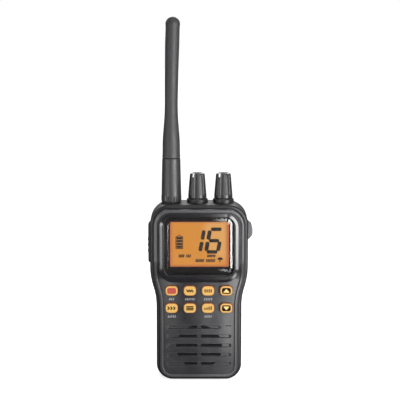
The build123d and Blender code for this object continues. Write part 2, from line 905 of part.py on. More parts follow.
def shield_can():
    """Tinplate lid over the transmitter."""
    front = main_board_y - can_depth
    can = slab(rounded(can_width, can_height, can_corner, 0, can_mid), front, main_board_y)
    width, height = can_width - 2 * can_sheet, can_height - 2 * can_sheet
    inner = rounded(width, height, can_corner - can_sheet, 0, can_mid)
    return can - slab(inner, front + can_sheet, main_board_y + over)


def chassis():
    """Die-cast plate that carries both boards and takes the transmitter's heat."""
    plate = slab(board_outline(chassis_low, main_board_high), chassis_y, chassis_y + chassis_thick)
    rib_end = chassis_y + chassis_thick + chassis_rib
    for x in (-chassis_rib_pitch, 0, chassis_rib_pitch):
        ends = (chassis_low + chassis_rib_margin, main_board_high - chassis_rib_margin)
        plate += box(about(x, chassis_rib_width), (chassis_y, rib_end), ends)
    board_back = control_board_y + board_thick
    for x, z in board_screw_places:
        plate += rod("y", standoff_radius, (x, board_back, z), chassis_y - board_back)
        plate -= rod("y", board_screw_radius, (x, control_board_y, z), board_screw_length)
    return plate


def board_screws():
    """Four screws that hold the control board to the chassis posts."""
    screws = []
    for x, z in board_screw_places:
        head_y = control_board_y - board_screw_head_depth
        head = rod("y", board_screw_head, (x, head_y, z), board_screw_head_depth)
        screws.append(head + rod("y", board_screw_radius, (x, control_board_y, z), board_screw_length))
    return screws


def cross_recess(x, y, z):
    """Cross-shaped driver recess that opens towards +Y from a depth."""
    cross = box(about(x, cross_width), (y, y + 2 * over), about(z, cross_length))
    return cross + box(about(x, cross_length), (y, y + 2 * over), about(z, cross_width))


def case_screws():
    """Four screws from the back of the housing into the front cover's bosses."""
    screws = []
    for x, z, seat, _ in case_screw_seats:
        head_y = seat - case_screw_head_depth
        head = rod("y", case_screw_head, (x, head_y, z), case_screw_head_depth - fit_gap)
        head -= cross_recess(x, seat - cross_depth, z)
        tip = boss_end - case_screw_grip
        screws.append(head + rod("y", case_screw_radius, (x, tip, z), head_y - tip))
    return screws


# ---- top controls -------------------------------------------------------------------------


def rotary_controls():
    """Volume and squelch controls under the top wall, with their threaded bushings."""
    made = []
    for x in (volume_x, squelch_x):
        top = top_inner - control_gap
        body = box(about(x, control_size), about(controls_y, control_size), (top - control_body, top))
        body += rod("z", bushing_radius, (x, controls_y, top), collar_top - bushing_short - top)
        bore = rod("z", shaft_radius + shaft_play, (x, controls_y, top - shaft_depth), case_height)
        made.append(body - bore)
    return made


def shaft(x):
    """Control shaft, from inside the control to the knob's socket."""
    low = top_inner - control_gap - shaft_depth + fit_gap
    return rod("z", shaft_radius, (x, controls_y, low), knob_top - shaft_short - fit_gap - low)


def knob(x):
    """Tapered knob with flutes, a plain skirt and a rounded crown."""
    shoulder = knob_top - knob_crown_height
    profile = Polyline(
        (0, knob_base), (knob_base_radius, knob_base), (knob_base_radius, knob_base + knob_skirt),
        (knob_top_radius, shoulder), (knob_crown_radius, knob_top), (0, knob_top), (0, knob_base),
    )
    body = revolve(Plane.XZ * make_face(profile.edges()), axis=Axis.Z)
    rim = [edge for edge in body.edges() if abs(edge.center().Z - shoulder) < fit_gap / 2]
    body = fillet(rim, knob_top_round)
    lean = degrees(asin((knob_base_radius - knob_top_radius) / (knob_height - knob_skirt)))
    flute = rod("z", flute_radius, (0, 0, 0), knob_height) + Sphere(flute_radius)
    reach = knob_base_radius + flute_radius - flute_bite
    seat = Pos(reach, 0, knob_base + knob_skirt + flute_radius) * Rot(0, -lean, 0)
    for n in range(flute_count):
        body -= Rot(0, 0, 360 * (n + 0.5) / flute_count) * seat * flute
    body -= rod("z", shaft_radius, (0, 0, knob_base - over), knob_height - shaft_short + over)
    body -= rod("z", bushing_radius + bushing_play, (0, 0, knob_base - over), over + bushing_sink)
    return Pos(x, controls_y, 0) * body


# ---- antenna ------------------------------------------------------------------------------


def antenna_stud():
    """Threaded socket on the case top that takes the antenna."""
    low = top_inner - stud_body
    stud = rod("z", stud_radius, (antenna_x, controls_y, low), case_height + stud_height - low)
    return stud - rod("z", pin_radius + pin_play, (antenna_x, controls_y, case_height), stud_height + over)


def antenna_seal():
    """Flat rubber washer under the antenna's grip ring."""
    radius = grip_ring_radius - antenna_seal_step
    ring = rod("z", radius, (antenna_x, controls_y, case_height), antenna_seal_thick)
    return ring - rod("z", stud_radius + fit_gap, (antenna_x, controls_y, case_height - over), 2 * over)


def antenna_insert():
    """Brass nut moulded into the sleeve, with the centre pin."""
    nut = rod("z", insert_radius, (antenna_x, controls_y, grip_ring_low), insert_height)
    socket = stud_height - antenna_seal_thick + pin_play
    nut -= rod("z", stud_radius + stud_play, (antenna_x, controls_y, grip_ring_low - over), socket + over)
    pin = insert_height - insert_pin_start
    return nut + rod("z", pin_radius, (antenna_x, controls_y, grip_ring_low + insert_pin_start), pin)


def antenna_grip_ring():
    """Notched ring for the fingers at the foot of the antenna."""
    ring = rod("z", grip_ring_radius, (0, 0, 0), grip_ring_height)
    ring = fillet(ring.edges().sort_by(Axis.Z)[0], grip_ring_round)
    reach = grip_ring_radius + notch_radius - notch_bite
    notch = rod("z", notch_radius, (reach, 0, notch_start), grip_ring_height)
    for n in range(notch_count):
        ring -= Rot(0, 0, 360 * (n + 0.75) / notch_count) * notch
    ring -= rod("z", insert_radius, (0, 0, -over), grip_ring_height + 2 * over)
    return Pos(antenna_x, controls_y, grip_ring_low) * ring


def antenna_sleeve():
    """Lower moulding of the antenna, over the nut."""
    profile = Polyline(
        (0, 0), (sleeve_base_radius, 0), (sleeve_top_radius, sleeve_length - sleeve_bevel),
        (sleeve_top_radius - sleeve_bevel, sleeve_length), (0, sleeve_length), (0, 0),
    )
    body = revolve(Plane.XZ * make_face(profile.edges()), axis=Axis.Z)
    body -= rod("z", insert_radius, (0, 0, -over), insert_height - grip_ring_height + over)
    return Pos(antenna_x, controls_y, sleeve_low) * body - antenna_core()


def whip_lean(z):
    """Sideways set of the whip's middle at a height above its foot."""
    share = max(0, z - whip_set_start) / (whip_length - whip_set_start)
    return whip_set * share**2


def whip_radius(z):
    """Radius of the whip: it narrows above the sleeve and swells a little to its tip."""
    if z < whip_neck_rise:
        narrow = (1 + cos(pi * z / whip_neck_rise)) / 2
        return whip_neck_radius + (sleeve_top_radius - whip_neck_radius) * narrow
    share = (z - whip_neck_rise) / (whip_length - whip_tip_radius - whip_neck_rise)
    return whip_neck_radius + (whip_tip_radius - whip_neck_radius) * share


def antenna_whip():
    """Rubber whip with a round tip and a slight bend."""
    dome = whip_length - whip_tip_radius
    heights = [dome * n / whip_sections for n in range(whip_sections + 1)]
    whip = loft([Pos(whip_lean(z), 0, z) * Circle(whip_radius(z)) for z in heights])
    whip = chamfer(whip.faces().sort_by(Axis.Z)[0].edges(), sleeve_bevel)
    whip += Pos(whip_lean(dome), 0, dome) * Sphere(whip_tip_radius)
    return Pos(antenna_x, controls_y, whip_low) * whip - antenna_core()


def antenna_core():
    """Wound radiator inside the sleeve and the whip."""
    low = grip_ring_low + insert_height
    stem = rod("z", core_radius, (antenna_x, controls_y, low), whip_low - low)
    top = whip_length - core_short
    heights = [top * n / whip_sections for n in range(whip_sections + 1)]
    coil = loft([Pos(whip_lean(z), 0, z) * Circle(core_radius) for z in heights])
    return stem + Pos(antenna_x, controls_y, whip_low) * coil


# ---- talk key -----------------------------------------------------------------------------


def talk_key():
    """Rubber-faced bar in the left wall: cross ribs, a flange behind the wall and a switch post."""
    crown = -head_half_width - talk_proud
    outline = side_oblong(talk_inner_x, talk_width, talk_height, talk_corner)
    bar = extrude(outline, amount=talk_inner_x - crown)
    bar = fillet(bar.faces().sort_by(Axis.X)[0].edges(), talk_round)
    length = talk_width - 2 * talk_rib_end
    for n in range(talk_rib_count):
        z = talk_z - talk_rib_drop + ((talk_rib_count - 1) / 2 - n) * talk_rib_pitch
        x = crown + talk_rib_radius - talk_rib_proud
        bar += rod("y", talk_rib_radius, (x, talk_mid_y - length / 2, z), length)
    flange_x = talk_inner_x + talk_flange_thick
    width, height = talk_width + 2 * talk_flange, talk_height + 2 * talk_flange
    bar += extrude(side_oblong(flange_x, width, height, talk_corner), amount=talk_flange_thick)
    return bar + rod("x", talk_post_radius, (flange_x, switch_y(), talk_z), talk_post_length)


def switch_y():
    """Depth of the talk switch's plunger, on the front of the main board."""
    return main_board_y - switch_depth / 2


def talk_switch():
    """Push switch on the edge of the main board."""
    tip = talk_inner_x + talk_flange_thick + talk_post_length + talk_travel + fit_gap
    ends = (tip + plunger_length, switch_seat - board_half_width)
    body = box(ends, (main_board_y - switch_depth, main_board_y), about(talk_z, switch_height))
    return body + rod("x", plunger_radius, (tip, switch_y(), talk_z), plunger_length + fit_gap)


# ---- accessory jack -----------------------------------------------------------------------


def jack_socket():
    """Three-contact jack with its nose in the right wall."""
    mouth = head_half_width - nub_depth - fit_gap - jack_mouth_sink
    shoulder = head_half_width - wall - seam_gap
    ends = (mouth - jack_bore_length - jack_end_wall, shoulder)
    body = box(ends, about(jack_y, jack_body), about(jack_z, jack_body))
    body += rod("x", jack_nose_radius, (shoulder, jack_y, jack_z), mouth - shoulder)
    floor = (mouth - jack_bore_length, jack_y, jack_z)
    return body - rod("x", jack_bore_radius, floor, jack_bore_length + over)


def jack_flap():
    """Rubber cover with a finger edge, its strap and the nub that plugs the recess."""
    end, half = head_half_width + flap_proud, flap_height / 2
    lift = flap_proud - flap_gap
    view = Polyline(
        (flap_x, jack_z - half), (end - 0.3 * lift, jack_z - 0.7 * half), (end, jack_z - 0.36 * half),
        (end, jack_z + 0.25 * half), (end - 0.25 * lift, jack_z + 0.68 * half), (flap_x, jack_z + half),
        close=True,
    )
    block = extrude(Plane.XZ.offset(-flap_back) * make_face(view.edges()), amount=flap_back - flap_front)
    block = fillet(block.edges().filter_by(Axis.Z).group_by(Axis.X)[-1], flap_round)
    strap_ends = (flap_back - fit_gap, flap_hinge_y)
    strap_height = flap_height - 2 * flap_strap_inset
    block += box((flap_x, flap_x + flap_strap), strap_ends, about(jack_z, strap_height))
    knuckle = (flap_x + flap_strap / 2, flap_hinge_y, jack_z - strap_height / 2)
    block += rod("z", flap_strap / 2, knuckle, strap_height)
    nub = right_oblong(flap_x, jack_y, nub_width, nub_height, nub_corner)
    return block + extrude(nub, amount=-(nub_depth + flap_gap - fit_gap))


def jack_flap_anchor():
    """Rubber plug that holds the flap's strap in the housing wall."""
    middle = flap_hinge_y + flap_strap / 2 + flap_strap_gap + anchor_width / 2
    height = flap_height - 2 * flap_strap_inset
    plug = right_oblong(head_half_width - wall, middle, anchor_width, height, anchor_corner)
    return extrude(plug, amount=wall + anchor_proud)


# ---- battery pack -------------------------------------------------------------------------


def battery_case():
    """Inner moulding of the pack, with the two hooks at its top."""
    swing = rod("x", pack_swing, (-head_half_width, hook_y, hook_z), 2 * head_half_width)
    case = box((-pack_half_width, pack_half_width), (pack_front, cover_front), (0, pack_top)) & swing
    room, high = pack_half_width - pack_wall, pack_top - pack_wall
    case -= box((-room, room), (pack_front + pack_wall, cover_front + over), (cell_low - cell_gap, high))
    for pad in battery_pads():
        case -= pad
    for x in (-hook_x, hook_x):
        ends = about(x, hook_width)
        case += rod("x", hook_radius, (ends[0], hook_y, hook_z), hook_width)
        case += box(ends, about(hook_y, hook_neck), (high, hook_z))
    return case


def battery_cells():
    """Two flat lithium cells side by side."""
    room = pack_half_width - pack_wall - cell_gap
    depth = (pack_front + pack_wall + fit_gap, cover_front - fit_gap)
    cell = box((cell_gap / 2, room), depth, (cell_low, pack_top - pack_wall - cell_gap))
    cell = fillet(cell.edges().filter_by(Axis.Z), cell_round)
    return [cell, mirror(cell, about=Plane.YZ)]


def battery_pads():
    """Gold contact pads on the pack's inner face."""
    width = terminal_width + 2 * pad_margin
    depth = (pack_front, pack_front + pad_thick)
    return [box(about(x, width), depth, about(terminal_z, terminal_height)) for x in terminal_places]


def battery_terminals():
    """Spring blades that reach from the main board to the pack."""
    depth, ends = (chassis_y, pack_front - terminal_gap), about(terminal_z, terminal_height)
    return [box(about(x, terminal_width), depth, ends) for x in terminal_places]


def battery_cover():
    """Outer moulding of the pack: the lower back of the radio."""
    height = cover_high - cover_low
    profile = rounded(2 * cover_half_width, height, cover_corner, 0, cover_low + height / 2)
    cover = fillet(back_edges(slab(profile, cover_front, cover_back)), cover_round)
    cover -= rod("y", lock_head_radius + lock_play, (0, lock_head_y - lock_washer, lock_z), back_y)
    cover -= rod("y", lock_shank_radius + lock_play, (0, cover_front - over, lock_z), back_y)
    for z in clip_screw_places:
        cover -= rod("y", clip_screw_radius, (0, cover_front + clip_screw_floor, z), back_y)
    return cover


# ---- lock screw ---------------------------------------------------------------------------


def lock_seal():
    """Washer under the lock screw's head."""
    start = lock_head_y - lock_washer
    ring = rod("y", lock_head_radius - lock_washer_step, (0, start, lock_z), lock_washer)
    return ring - rod("y", lock_shank_radius + fit_gap, (0, start - over, lock_z), 2 * over)


def lock_screw():
    """Captive screw with a coin slot."""
    head = rod("y", lock_head_radius, (0, lock_head_y, lock_z), lock_head_thick)
    slot = (cover_back - lock_slot_depth, cover_back + over)
    head -= box(about(0, lock_slot_width), slot, about(lock_z, 3 * lock_head_radius))
    return head + rod("y", lock_shank_radius, (0, lock_tip, lock_z), lock_head_y - lock_tip)


def lock_insert_outline(end):
    """Round outside of the brass insert, up to a depth."""
    start = lock_tip - insert_floor - fit_gap
    return rod("y", lock_shank_radius + lock_hole_play + insert_wall, (0, start, lock_z), end - start)


def lock_insert():
    """Brass insert in the housing for the lock screw."""
    bore = rod("y", lock_shank_radius + lock_hole_play, (0, lock_tip - fit_gap, lock_z), back_y)
    return lock_insert_outline(recess_floor) - bore


def lock_post_radius():
    """Housing post round the insert."""
    return lock_shank_radius + lock_hole_play + insert_wall + insert_seat


# ---- belt clip ----------------------------------------------------------------------------


def clip_base():
    """Plate on the pack's back with two ears for the clip's pin."""
    half, end = clip_base_width / 2, cover_back + clip_base_thick
    middle = (clip_base_low + clip_base_high) / 2
    plate = slab(rounded(clip_base_width, clip_base_height, clip_base_corner, 0, middle), cover_back, end)
    ear = box((half - clip_ear, half), (cover_back, clip_pin_y), about(clip_pin_z, 2 * clip_ear_radius))
    ear += rod("x", clip_ear_radius, (half - clip_ear, clip_pin_y, clip_pin_z), clip_ear)
    plate += ear + mirror(ear, about=Plane.YZ)
    plate -= clip_pin()
    for z in clip_screw_places:
        plate -= rod("y", clip_screw_radius, (0, cover_back - over, z), clip_base_thick + 2 * over)
    return plate


def clip_screws():
    """Two pan-head screws through the base into the pack."""
    screws = []
    for z in clip_screw_places:
        head_y, tip = cover_back + clip_base_thick, cover_front + clip_screw_floor
        head = rod("y", clip_screw_head, (0, head_y, z), clip_screw_head_depth)
        head -= cross_recess(0, head_y + clip_screw_head_depth - cross_depth, z)
        screws.append(head + rod("y", clip_screw_radius, (0, tip, z), head_y - tip))
    return screws


def clip_pin():
    return rod("x", clip_pin_radius, (-clip_base_width / 2, clip_pin_y, clip_pin_z), clip_base_width)


def clip_lever():
    """Sprung finger: ribbed thumb end above the pin, long blade below it, toe against the pack."""
    middle = clip_inner_y + clip_plate / 2
    foot_y = cover_back + clip_foot_gap + clip_plate / 2
    toe = (foot_y + clip_toe_kick, clip_foot - clip_toe)
    path = FilletPolyline(
        (middle, clip_top), (middle, clip_bend), (foot_y, clip_foot), toe,
        radius=[clip_bend_round, clip_foot_round],
    )
    blade = extrude(Plane.YZ * trace(path, line_width=clip_plate), amount=clip_width / 2, both=True)
    low = clip_foot - clip_toe - clip_plate
    outline = rounded(clip_width, clip_top - low, clip_corner, 0, (clip_top + low) / 2)
    blade &= slab(outline, cover_back, clip_inner_y + 2 * clip_plate)
    blade += thumb_ribs()
    start = clip_ear_end - clip_ear
    ear = rod("x", clip_ear_radius, (start, clip_pin_y, clip_pin_z), clip_ear)
    ear += box((start, clip_ear_end), (clip_pin_y, middle), about(clip_pin_z, 2 * clip_ear_radius))
    blade += ear + mirror(ear, about=Plane.YZ)
    left = (-clip_base_width, clip_pin_y, clip_pin_z)
    return blade - rod("x", clip_pin_radius + clip_pin_play, left, 2 * clip_base_width)


def thumb_ribs():
    """Cross ribs on the outside of the clip's thumb end."""
    ribs = Part()
    length = clip_width - 2 * clip_corner
    for n in range(clip_rib_count):
        z = clip_top - clip_corner / 2 - n * clip_rib_pitch
        ribs += rod("x", clip_rib_radius, (-length / 2, clip_inner_y + clip_plate, z), length)
    return ribs


def clip_spring():
    """Bent leaf that pushes the thumb end away from the pack."""
    foot = cover_back + clip_base_thick + spring_gap + spring_thick / 2
    head = clip_inner_y - spring_gap - spring_thick
    tip = (head, clip_top - spring_top_drop)
    leaf = FilletPolyline((foot, clip_pin_z - spring_foot), (foot, clip_pin_z), tip, radius=spring_round)
    return extrude(Plane.YZ * trace(leaf, line_width=spring_thick), amount=spring_width / 2, both=True)


# ---- base and strap -----------------------------------------------------------------------


def charge_contacts():
    """Two studs in the base that meet a charging cradle."""
    length = wall - contact_sink
    return [rod("z", contact_radius, (x, contact_y, contact_sink), length) for x in (-contact_x, contact_x)]


def strap_eyelet():
    """Lug on the upper back for a wrist strap."""
    width = eyelet_width + 2 * eyelet_plate_margin
    outline = rounded(width, eyelet_plate_height, eyelet_plate_corner, eyelet_x, eyelet_z)
    plate = slab(outline, back_y, back_y + eyelet_plate)
    ends = about(eyelet_x, eyelet_width)
    middle = back_y + eyelet_plate + eyelet_hole + eyelet_lift
    lug = rod("x", eyelet_hole + eyelet_wall, (ends[0], middle, eyelet_z), eyelet_width)
    lug &= box(ends, (back_y, 2 * back_y), (0, case_height))
    return plate + lug - rod("x", eyelet_hole, (ends[0] - over, middle, eyelet_z), eyelet_width + 2 * over)


def all_parts():
    """Every sub-part by name."""
    parts = {
        "housing_shell": housing_shell(),
        "front_cover": front_cover(),
        "case_seal": case_seal(),
        "display_bezel": display_bezel(),
        "display_lens": display_lens(),
        "lcd_frame": lcd_frame(),
        "lcd_panel": lcd_panel(),
        "light_guide": light_guide(),
        "keypad_sheet": keypad_sheet(),
        "speaker_membrane": speaker_membrane(),
        "speaker": speaker(),
        "speaker_cone": speaker_cone(),
        "microphone_boot": microphone_boot(),
        "microphone": microphone(),
        "control_board": control_board(),
        "main_board": main_board(),
        "shield_can": shield_can(),
        "chassis": chassis(),
        "board_screws": board_screws(),
        "case_screws": case_screws(),
        "rotary_controls": rotary_controls(),
        "volume_shaft": shaft(volume_x),
        "squelch_shaft": shaft(squelch_x),
        "volume_knob": knob(volume_x),
        "squelch_knob": knob(squelch_x),
        "antenna_stud": antenna_stud(),
        "antenna_seal": antenna_seal(),
        "antenna_insert": antenna_insert(),
        "antenna_grip_ring": antenna_grip_ring(),
        "antenna_sleeve": antenna_sleeve(),
        "antenna_whip": antenna_whip(),
        "antenna_core": antenna_core(),
        "talk_key": talk_key(),
        "talk_switch": talk_switch(),
        "jack_socket": jack_socket(),
        "jack_flap": jack_flap(),
        "jack_flap_anchor": jack_flap_anchor(),
        "battery_case": battery_case(),
        "battery_cells": battery_cells(),
        "battery_pads": battery_pads(),
        "battery_terminals": battery_terminals(),
        "battery_cover": battery_cover(),
        "lock_seal": lock_seal(),
        "lock_screw": lock_screw(),
        "lock_insert": lock_insert(),
        "clip_base": clip_base(),
        "clip_screws": clip_screws(),
        "clip_pin": clip_pin(),
        "clip_lever": clip_lever(),
        "clip_spring": clip_spring(),
        "charge_contacts": charge_contacts(),
        "strap_eyelet": strap_eyelet(),
    }
    for name, (x, z) in zip(key_names, key_places):
        parts[f"key_{name}"] = key(x, z)
    return parts


os.makedirs("parts", exist_ok=True)
for name, shape in all_parts().items():
    solids = shape if isinstance(shape, list) else [shape]
    export_step(Compound(solids) if len(solids) > 1 else solids[0], f"parts/{name}.step")
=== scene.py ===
"""Handheld VHF marine radio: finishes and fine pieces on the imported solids."""

from math import atan2, cos, hypot, pi, radians, sin, tan

import bpy
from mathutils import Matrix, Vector


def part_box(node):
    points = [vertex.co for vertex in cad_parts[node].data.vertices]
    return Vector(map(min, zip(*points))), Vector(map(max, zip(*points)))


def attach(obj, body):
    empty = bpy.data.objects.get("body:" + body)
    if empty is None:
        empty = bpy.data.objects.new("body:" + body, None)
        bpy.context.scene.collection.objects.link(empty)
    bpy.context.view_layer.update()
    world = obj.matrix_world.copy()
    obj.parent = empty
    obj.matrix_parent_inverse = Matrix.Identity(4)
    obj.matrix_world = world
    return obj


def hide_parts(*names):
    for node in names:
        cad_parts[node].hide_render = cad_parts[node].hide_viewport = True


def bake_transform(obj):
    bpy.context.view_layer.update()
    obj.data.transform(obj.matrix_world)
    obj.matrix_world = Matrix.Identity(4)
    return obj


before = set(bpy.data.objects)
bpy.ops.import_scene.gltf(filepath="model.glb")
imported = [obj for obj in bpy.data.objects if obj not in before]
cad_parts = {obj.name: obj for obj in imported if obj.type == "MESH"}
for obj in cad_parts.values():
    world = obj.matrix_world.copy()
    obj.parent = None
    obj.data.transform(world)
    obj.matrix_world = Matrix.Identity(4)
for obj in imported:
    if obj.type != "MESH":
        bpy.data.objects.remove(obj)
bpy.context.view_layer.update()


# ---- Studio -------------------------------------------------------------------------------
# White paper runs under and behind the radio. Each lamp is soft and of a plain level; its
# direction is the one that a face of the radio mirrors where that face is to look bright.


def linear(code):
    """Turns an sRGB hex colour into a linear RGBA colour."""
    channels = [int(code[n : n + 2], 16) / 255 for n in (1, 3, 5)]
    return (*(c / 12.92 if c <= 0.04045 else ((c + 0.055) / 1.055) ** 2.4 for c in channels), 1.0)


def put(tree, kind, inputs=None, **settings):
    """Adds a node with its settings; each input is a value or an output to link."""
    made = tree.nodes.new(kind)
    for name, value in settings.items():
        setattr(made, name, value)
    for socket, value in (inputs or {}).items():
        if isinstance(value, bpy.types.NodeSocket):
            tree.links.new(value, made.inputs[socket])
        else:
            made.inputs[socket].default_value = value
    return made


def start_material(name, colour, roughness, **constants):
    """Starts a material whose constants sit on the shader's own sockets."""
    material = bpy.data.materials.new(name)
    material.use_nodes = True
    shader = material.node_tree.nodes["Principled BSDF"]
    shader.inputs["Base Color"].default_value = linear(colour)
    shader.inputs["Roughness"].default_value = roughness
    for socket, value in constants.items():
        shader.inputs[socket.replace("_", " ")].default_value = value
    return material, material.node_tree, shader


def seen_directly(tree, mirrored):
    """How white a backdrop shows: 1 to the camera and through glass, less in reflections."""
    paths = put(tree, "ShaderNodeLightPath").outputs
    glossy = put(tree, "ShaderNodeMath", {0: paths["Is Glossy Ray"], 1: mirrored},
                 operation="MULTIPLY")
    clear = put(tree, "ShaderNodeMath", {
        0: paths["Is Camera Ray"], 1: paths["Is Transmission Ray"]}, operation="MAXIMUM")
    return put(tree, "ShaderNodeMath", {0: clear.outputs[0], 1: glossy.outputs[0]},
               operation="MAXIMUM")


# Matt paper. It glows to plain white away from the radio, and keeps the shadow close to it.
paper_white, paper_mirrored = "#dcdcdc", "#3c3c3c"
glow_mirrored = 0.12        # share of the glow that reflections keep
shadow_reach, plain_from = 0.1, 1.2     # metres from the radio's middle
glow_near, glow_far = 0.66, 0.97

paper, tree, shader = start_material("seamless_paper_white", paper_white, 0.9)
place = put(tree, "ShaderNodeTexCoord").outputs["Object"]
away = put(tree, "ShaderNodeVectorMath", {0: place}, operation="LENGTH")
fade = put(tree, "ShaderNodeMapRange", {
    "Value": away.outputs["Value"], "From Min": shadow_reach, "From Max": plain_from,
    "To Min": glow_near, "To Max": glow_far})
glow = put(tree, "ShaderNodeMath", {
    0: seen_directly(tree, glow_mirrored).outputs[0], 1: fade.outputs[0]}, operation="MULTIPLY")
mirrored = put(tree, "ShaderNodeLightPath").outputs["Is Glossy Ray"]
sheet = put(tree, "ShaderNodeMix", {
    0: mirrored, 6: linear(paper_white), 7: linear(paper_mirrored)}, data_type="RGBA")
tree.links.new(sheet.outputs[2], shader.inputs["Base Color"])
shader.inputs["Emission Color"].default_value = (1, 1, 1, 1)
tree.links.new(glow.outputs[0], shader.inputs["Emission Strength"])

floor_size, floor_z = 8, -0.0002
bpy.ops.object.select_all(action="DESELECT")
bpy.ops.mesh.primitive_plane_add(size=floor_size, location=(0, 0, floor_z))
floor = bpy.context.object
floor.name = "studio_floor"
bpy.ops.object.transform_apply(location=True)
floor.data.materials.append(paper)

world = bpy.context.scene.world or bpy.data.worlds.new("studio")
bpy.context.scene.world = world
world.use_nodes = True
tree = world.node_tree
tree.nodes.clear()
plain = put(tree, "ShaderNodeBackground", {"Color": (1, 1, 1, 1), "Strength": 1.0})
room = put(tree, "ShaderNodeBackground", {"Color": linear("#f4f4f6"), "Strength": 0.3})
mixed = put(tree, "ShaderNodeMixShader", {
    0: seen_directly(tree, 0.0).outputs[0], 1: room.outputs[0], 2: plain.outputs[0]})
put(tree, "ShaderNodeOutputWorld", {"Surface": mixed.outputs[0]})


def softbox(name, place, target, width, height, radiance, turn=0.0, soft=0.12):
    """Rectangular lamp, in metres, that faces a target and dims over a share of its size."""
    lamp = bpy.data.lights.new(name, "AREA")
    lamp.shape, lamp.size, lamp.size_y = "RECTANGLE", width, height
    lamp.energy = radiance * pi * width * height
    lamp.use_nodes = True
    tree = lamp.node_tree
    across = put(tree, "ShaderNodeNewGeometry").outputs["Parametric"]
    spot = put(tree, "ShaderNodeSeparateXYZ", {0: across})
    rims = []
    for axis in ("X", "Y"):
        half = put(tree, "ShaderNodeMath", {0: spot.outputs[axis], 1: 0.5}, operation="SUBTRACT")
        reach = put(tree, "ShaderNodeMath", {0: half.outputs[0]}, operation="ABSOLUTE")
        rims.append(put(tree, "ShaderNodeMapRange", {
            "Value": reach.outputs[0], "From Min": 0.5, "From Max": 0.5 - soft,
            "To Min": 0.0, "To Max": 1.0}, interpolation_type="SMOOTHSTEP").outputs[0])
    full = put(tree, "ShaderNodeMath", {0: rims[0], 1: rims[1]}, operation="MULTIPLY")
    tree.links.new(full.outputs[0], tree.nodes["Emission"].inputs["Strength"])
    made = bpy.data.objects.new(name, lamp)
    bpy.context.scene.collection.objects.link(made)
    made.location, made.visible_camera = place, False
    facing = (Vector(target) - Vector(place)).to_track_quat("-Z", "Y").to_euler()
    facing.rotate_axis("Z", turn)
    made.rotation_euler = facing


# Right: a tall leaning strip close by, and a softer box beside the camera for the panel.
softbox("strip_right", (0.212, -0.245, 0.15), (0.0, 0.0, 0.13), 0.105, 0.42, 18.0, radians(24))
softbox("box_front_right", (0.135, -0.50, 0.17), (0.0, 0.0, 0.11), 0.10, 0.28, 8.0)
# Left: a low strip for the trim ring's slope, and a dimmer one beyond it for the bead.
softbox("strip_left", (-0.2215, -0.281, 0.068), (0.0, 0.0, 0.068), 0.066, 0.136, 14.0)
softbox("wall_left", (-0.252, -0.123, 0.10), (0.0, 0.0, 0.10), 0.10, 0.20, 3.6, soft=0.2)
# Above, behind and at both sides: weak fills for the tops, the back and the flanks.
softbox("box_top", (0.0, -0.12, 0.55), (0.0, 0.0, 0.1), 0.30, 0.20, 3.0)
softbox("box_back", (0.0, 0.55, 0.50), (0.0, 0.0, 0.10), 0.60, 0.30, 5.0)
softbox("side_left", (-0.45, 0.12, 0.45), (0.0, 0.0, 0.10), 0.25, 0.25, 2.5)
softbox("side_right", (0.45, 0.12, 0.45), (0.0, 0.0, 0.10), 0.25, 0.25, 2.0)
# Cards that the display window mirrors: in its lower right corner, along its lower border
# and in its top edge.
softbox("card_corner", (0.090, -0.115, 0.004), (0.0885, -0.113, 0.1), 0.045, 0.13, 9.0,
        soft=0.3)
softbox("card_border", (0.029, -0.215, 0.003), (0.029, -0.214, 0.1), 0.030, 0.28, 7.5,
        soft=0.35)
softbox("card_edge", (0.032, -0.18, 0.217), (0.014, 0.0, 0.103), 0.044, 0.05, 13.0, soft=0.45)

camera_rise, camera_reach = 8.0, 0.9    # degrees above the horizontal, metres
aim = Vector((0, 0, 0.1162))
lens_data = bpy.data.cameras.new("camera")
lens_data.sensor_width, lens_data.lens = 36.0, 127.4
lens_data.shift_x, lens_data.shift_y = 0.0025, -0.0075
lens_data.clip_start, lens_data.clip_end = 0.01, 20.0
camera = bpy.data.objects.new("camera", lens_data)
bpy.context.scene.collection.objects.link(camera)
backward = Vector((0, -cos(radians(camera_rise)), sin(radians(camera_rise))))
camera.location = aim + camera_reach * backward
camera.rotation_euler = (aim - camera.location).to_track_quat("-Z", "Y").to_euler()
bpy.context.scene.camera = camera
bpy.context.scene.view_settings.view_transform = "Standard"


# ---- Case mouldings -----------------------------------------------------------------------
# Housing tub, front cover and strap lug: black PC/ABS, injection moulded in a spark-eroded
# tool, so the faces are finely pebbled and satin, and handling polishes them a little.


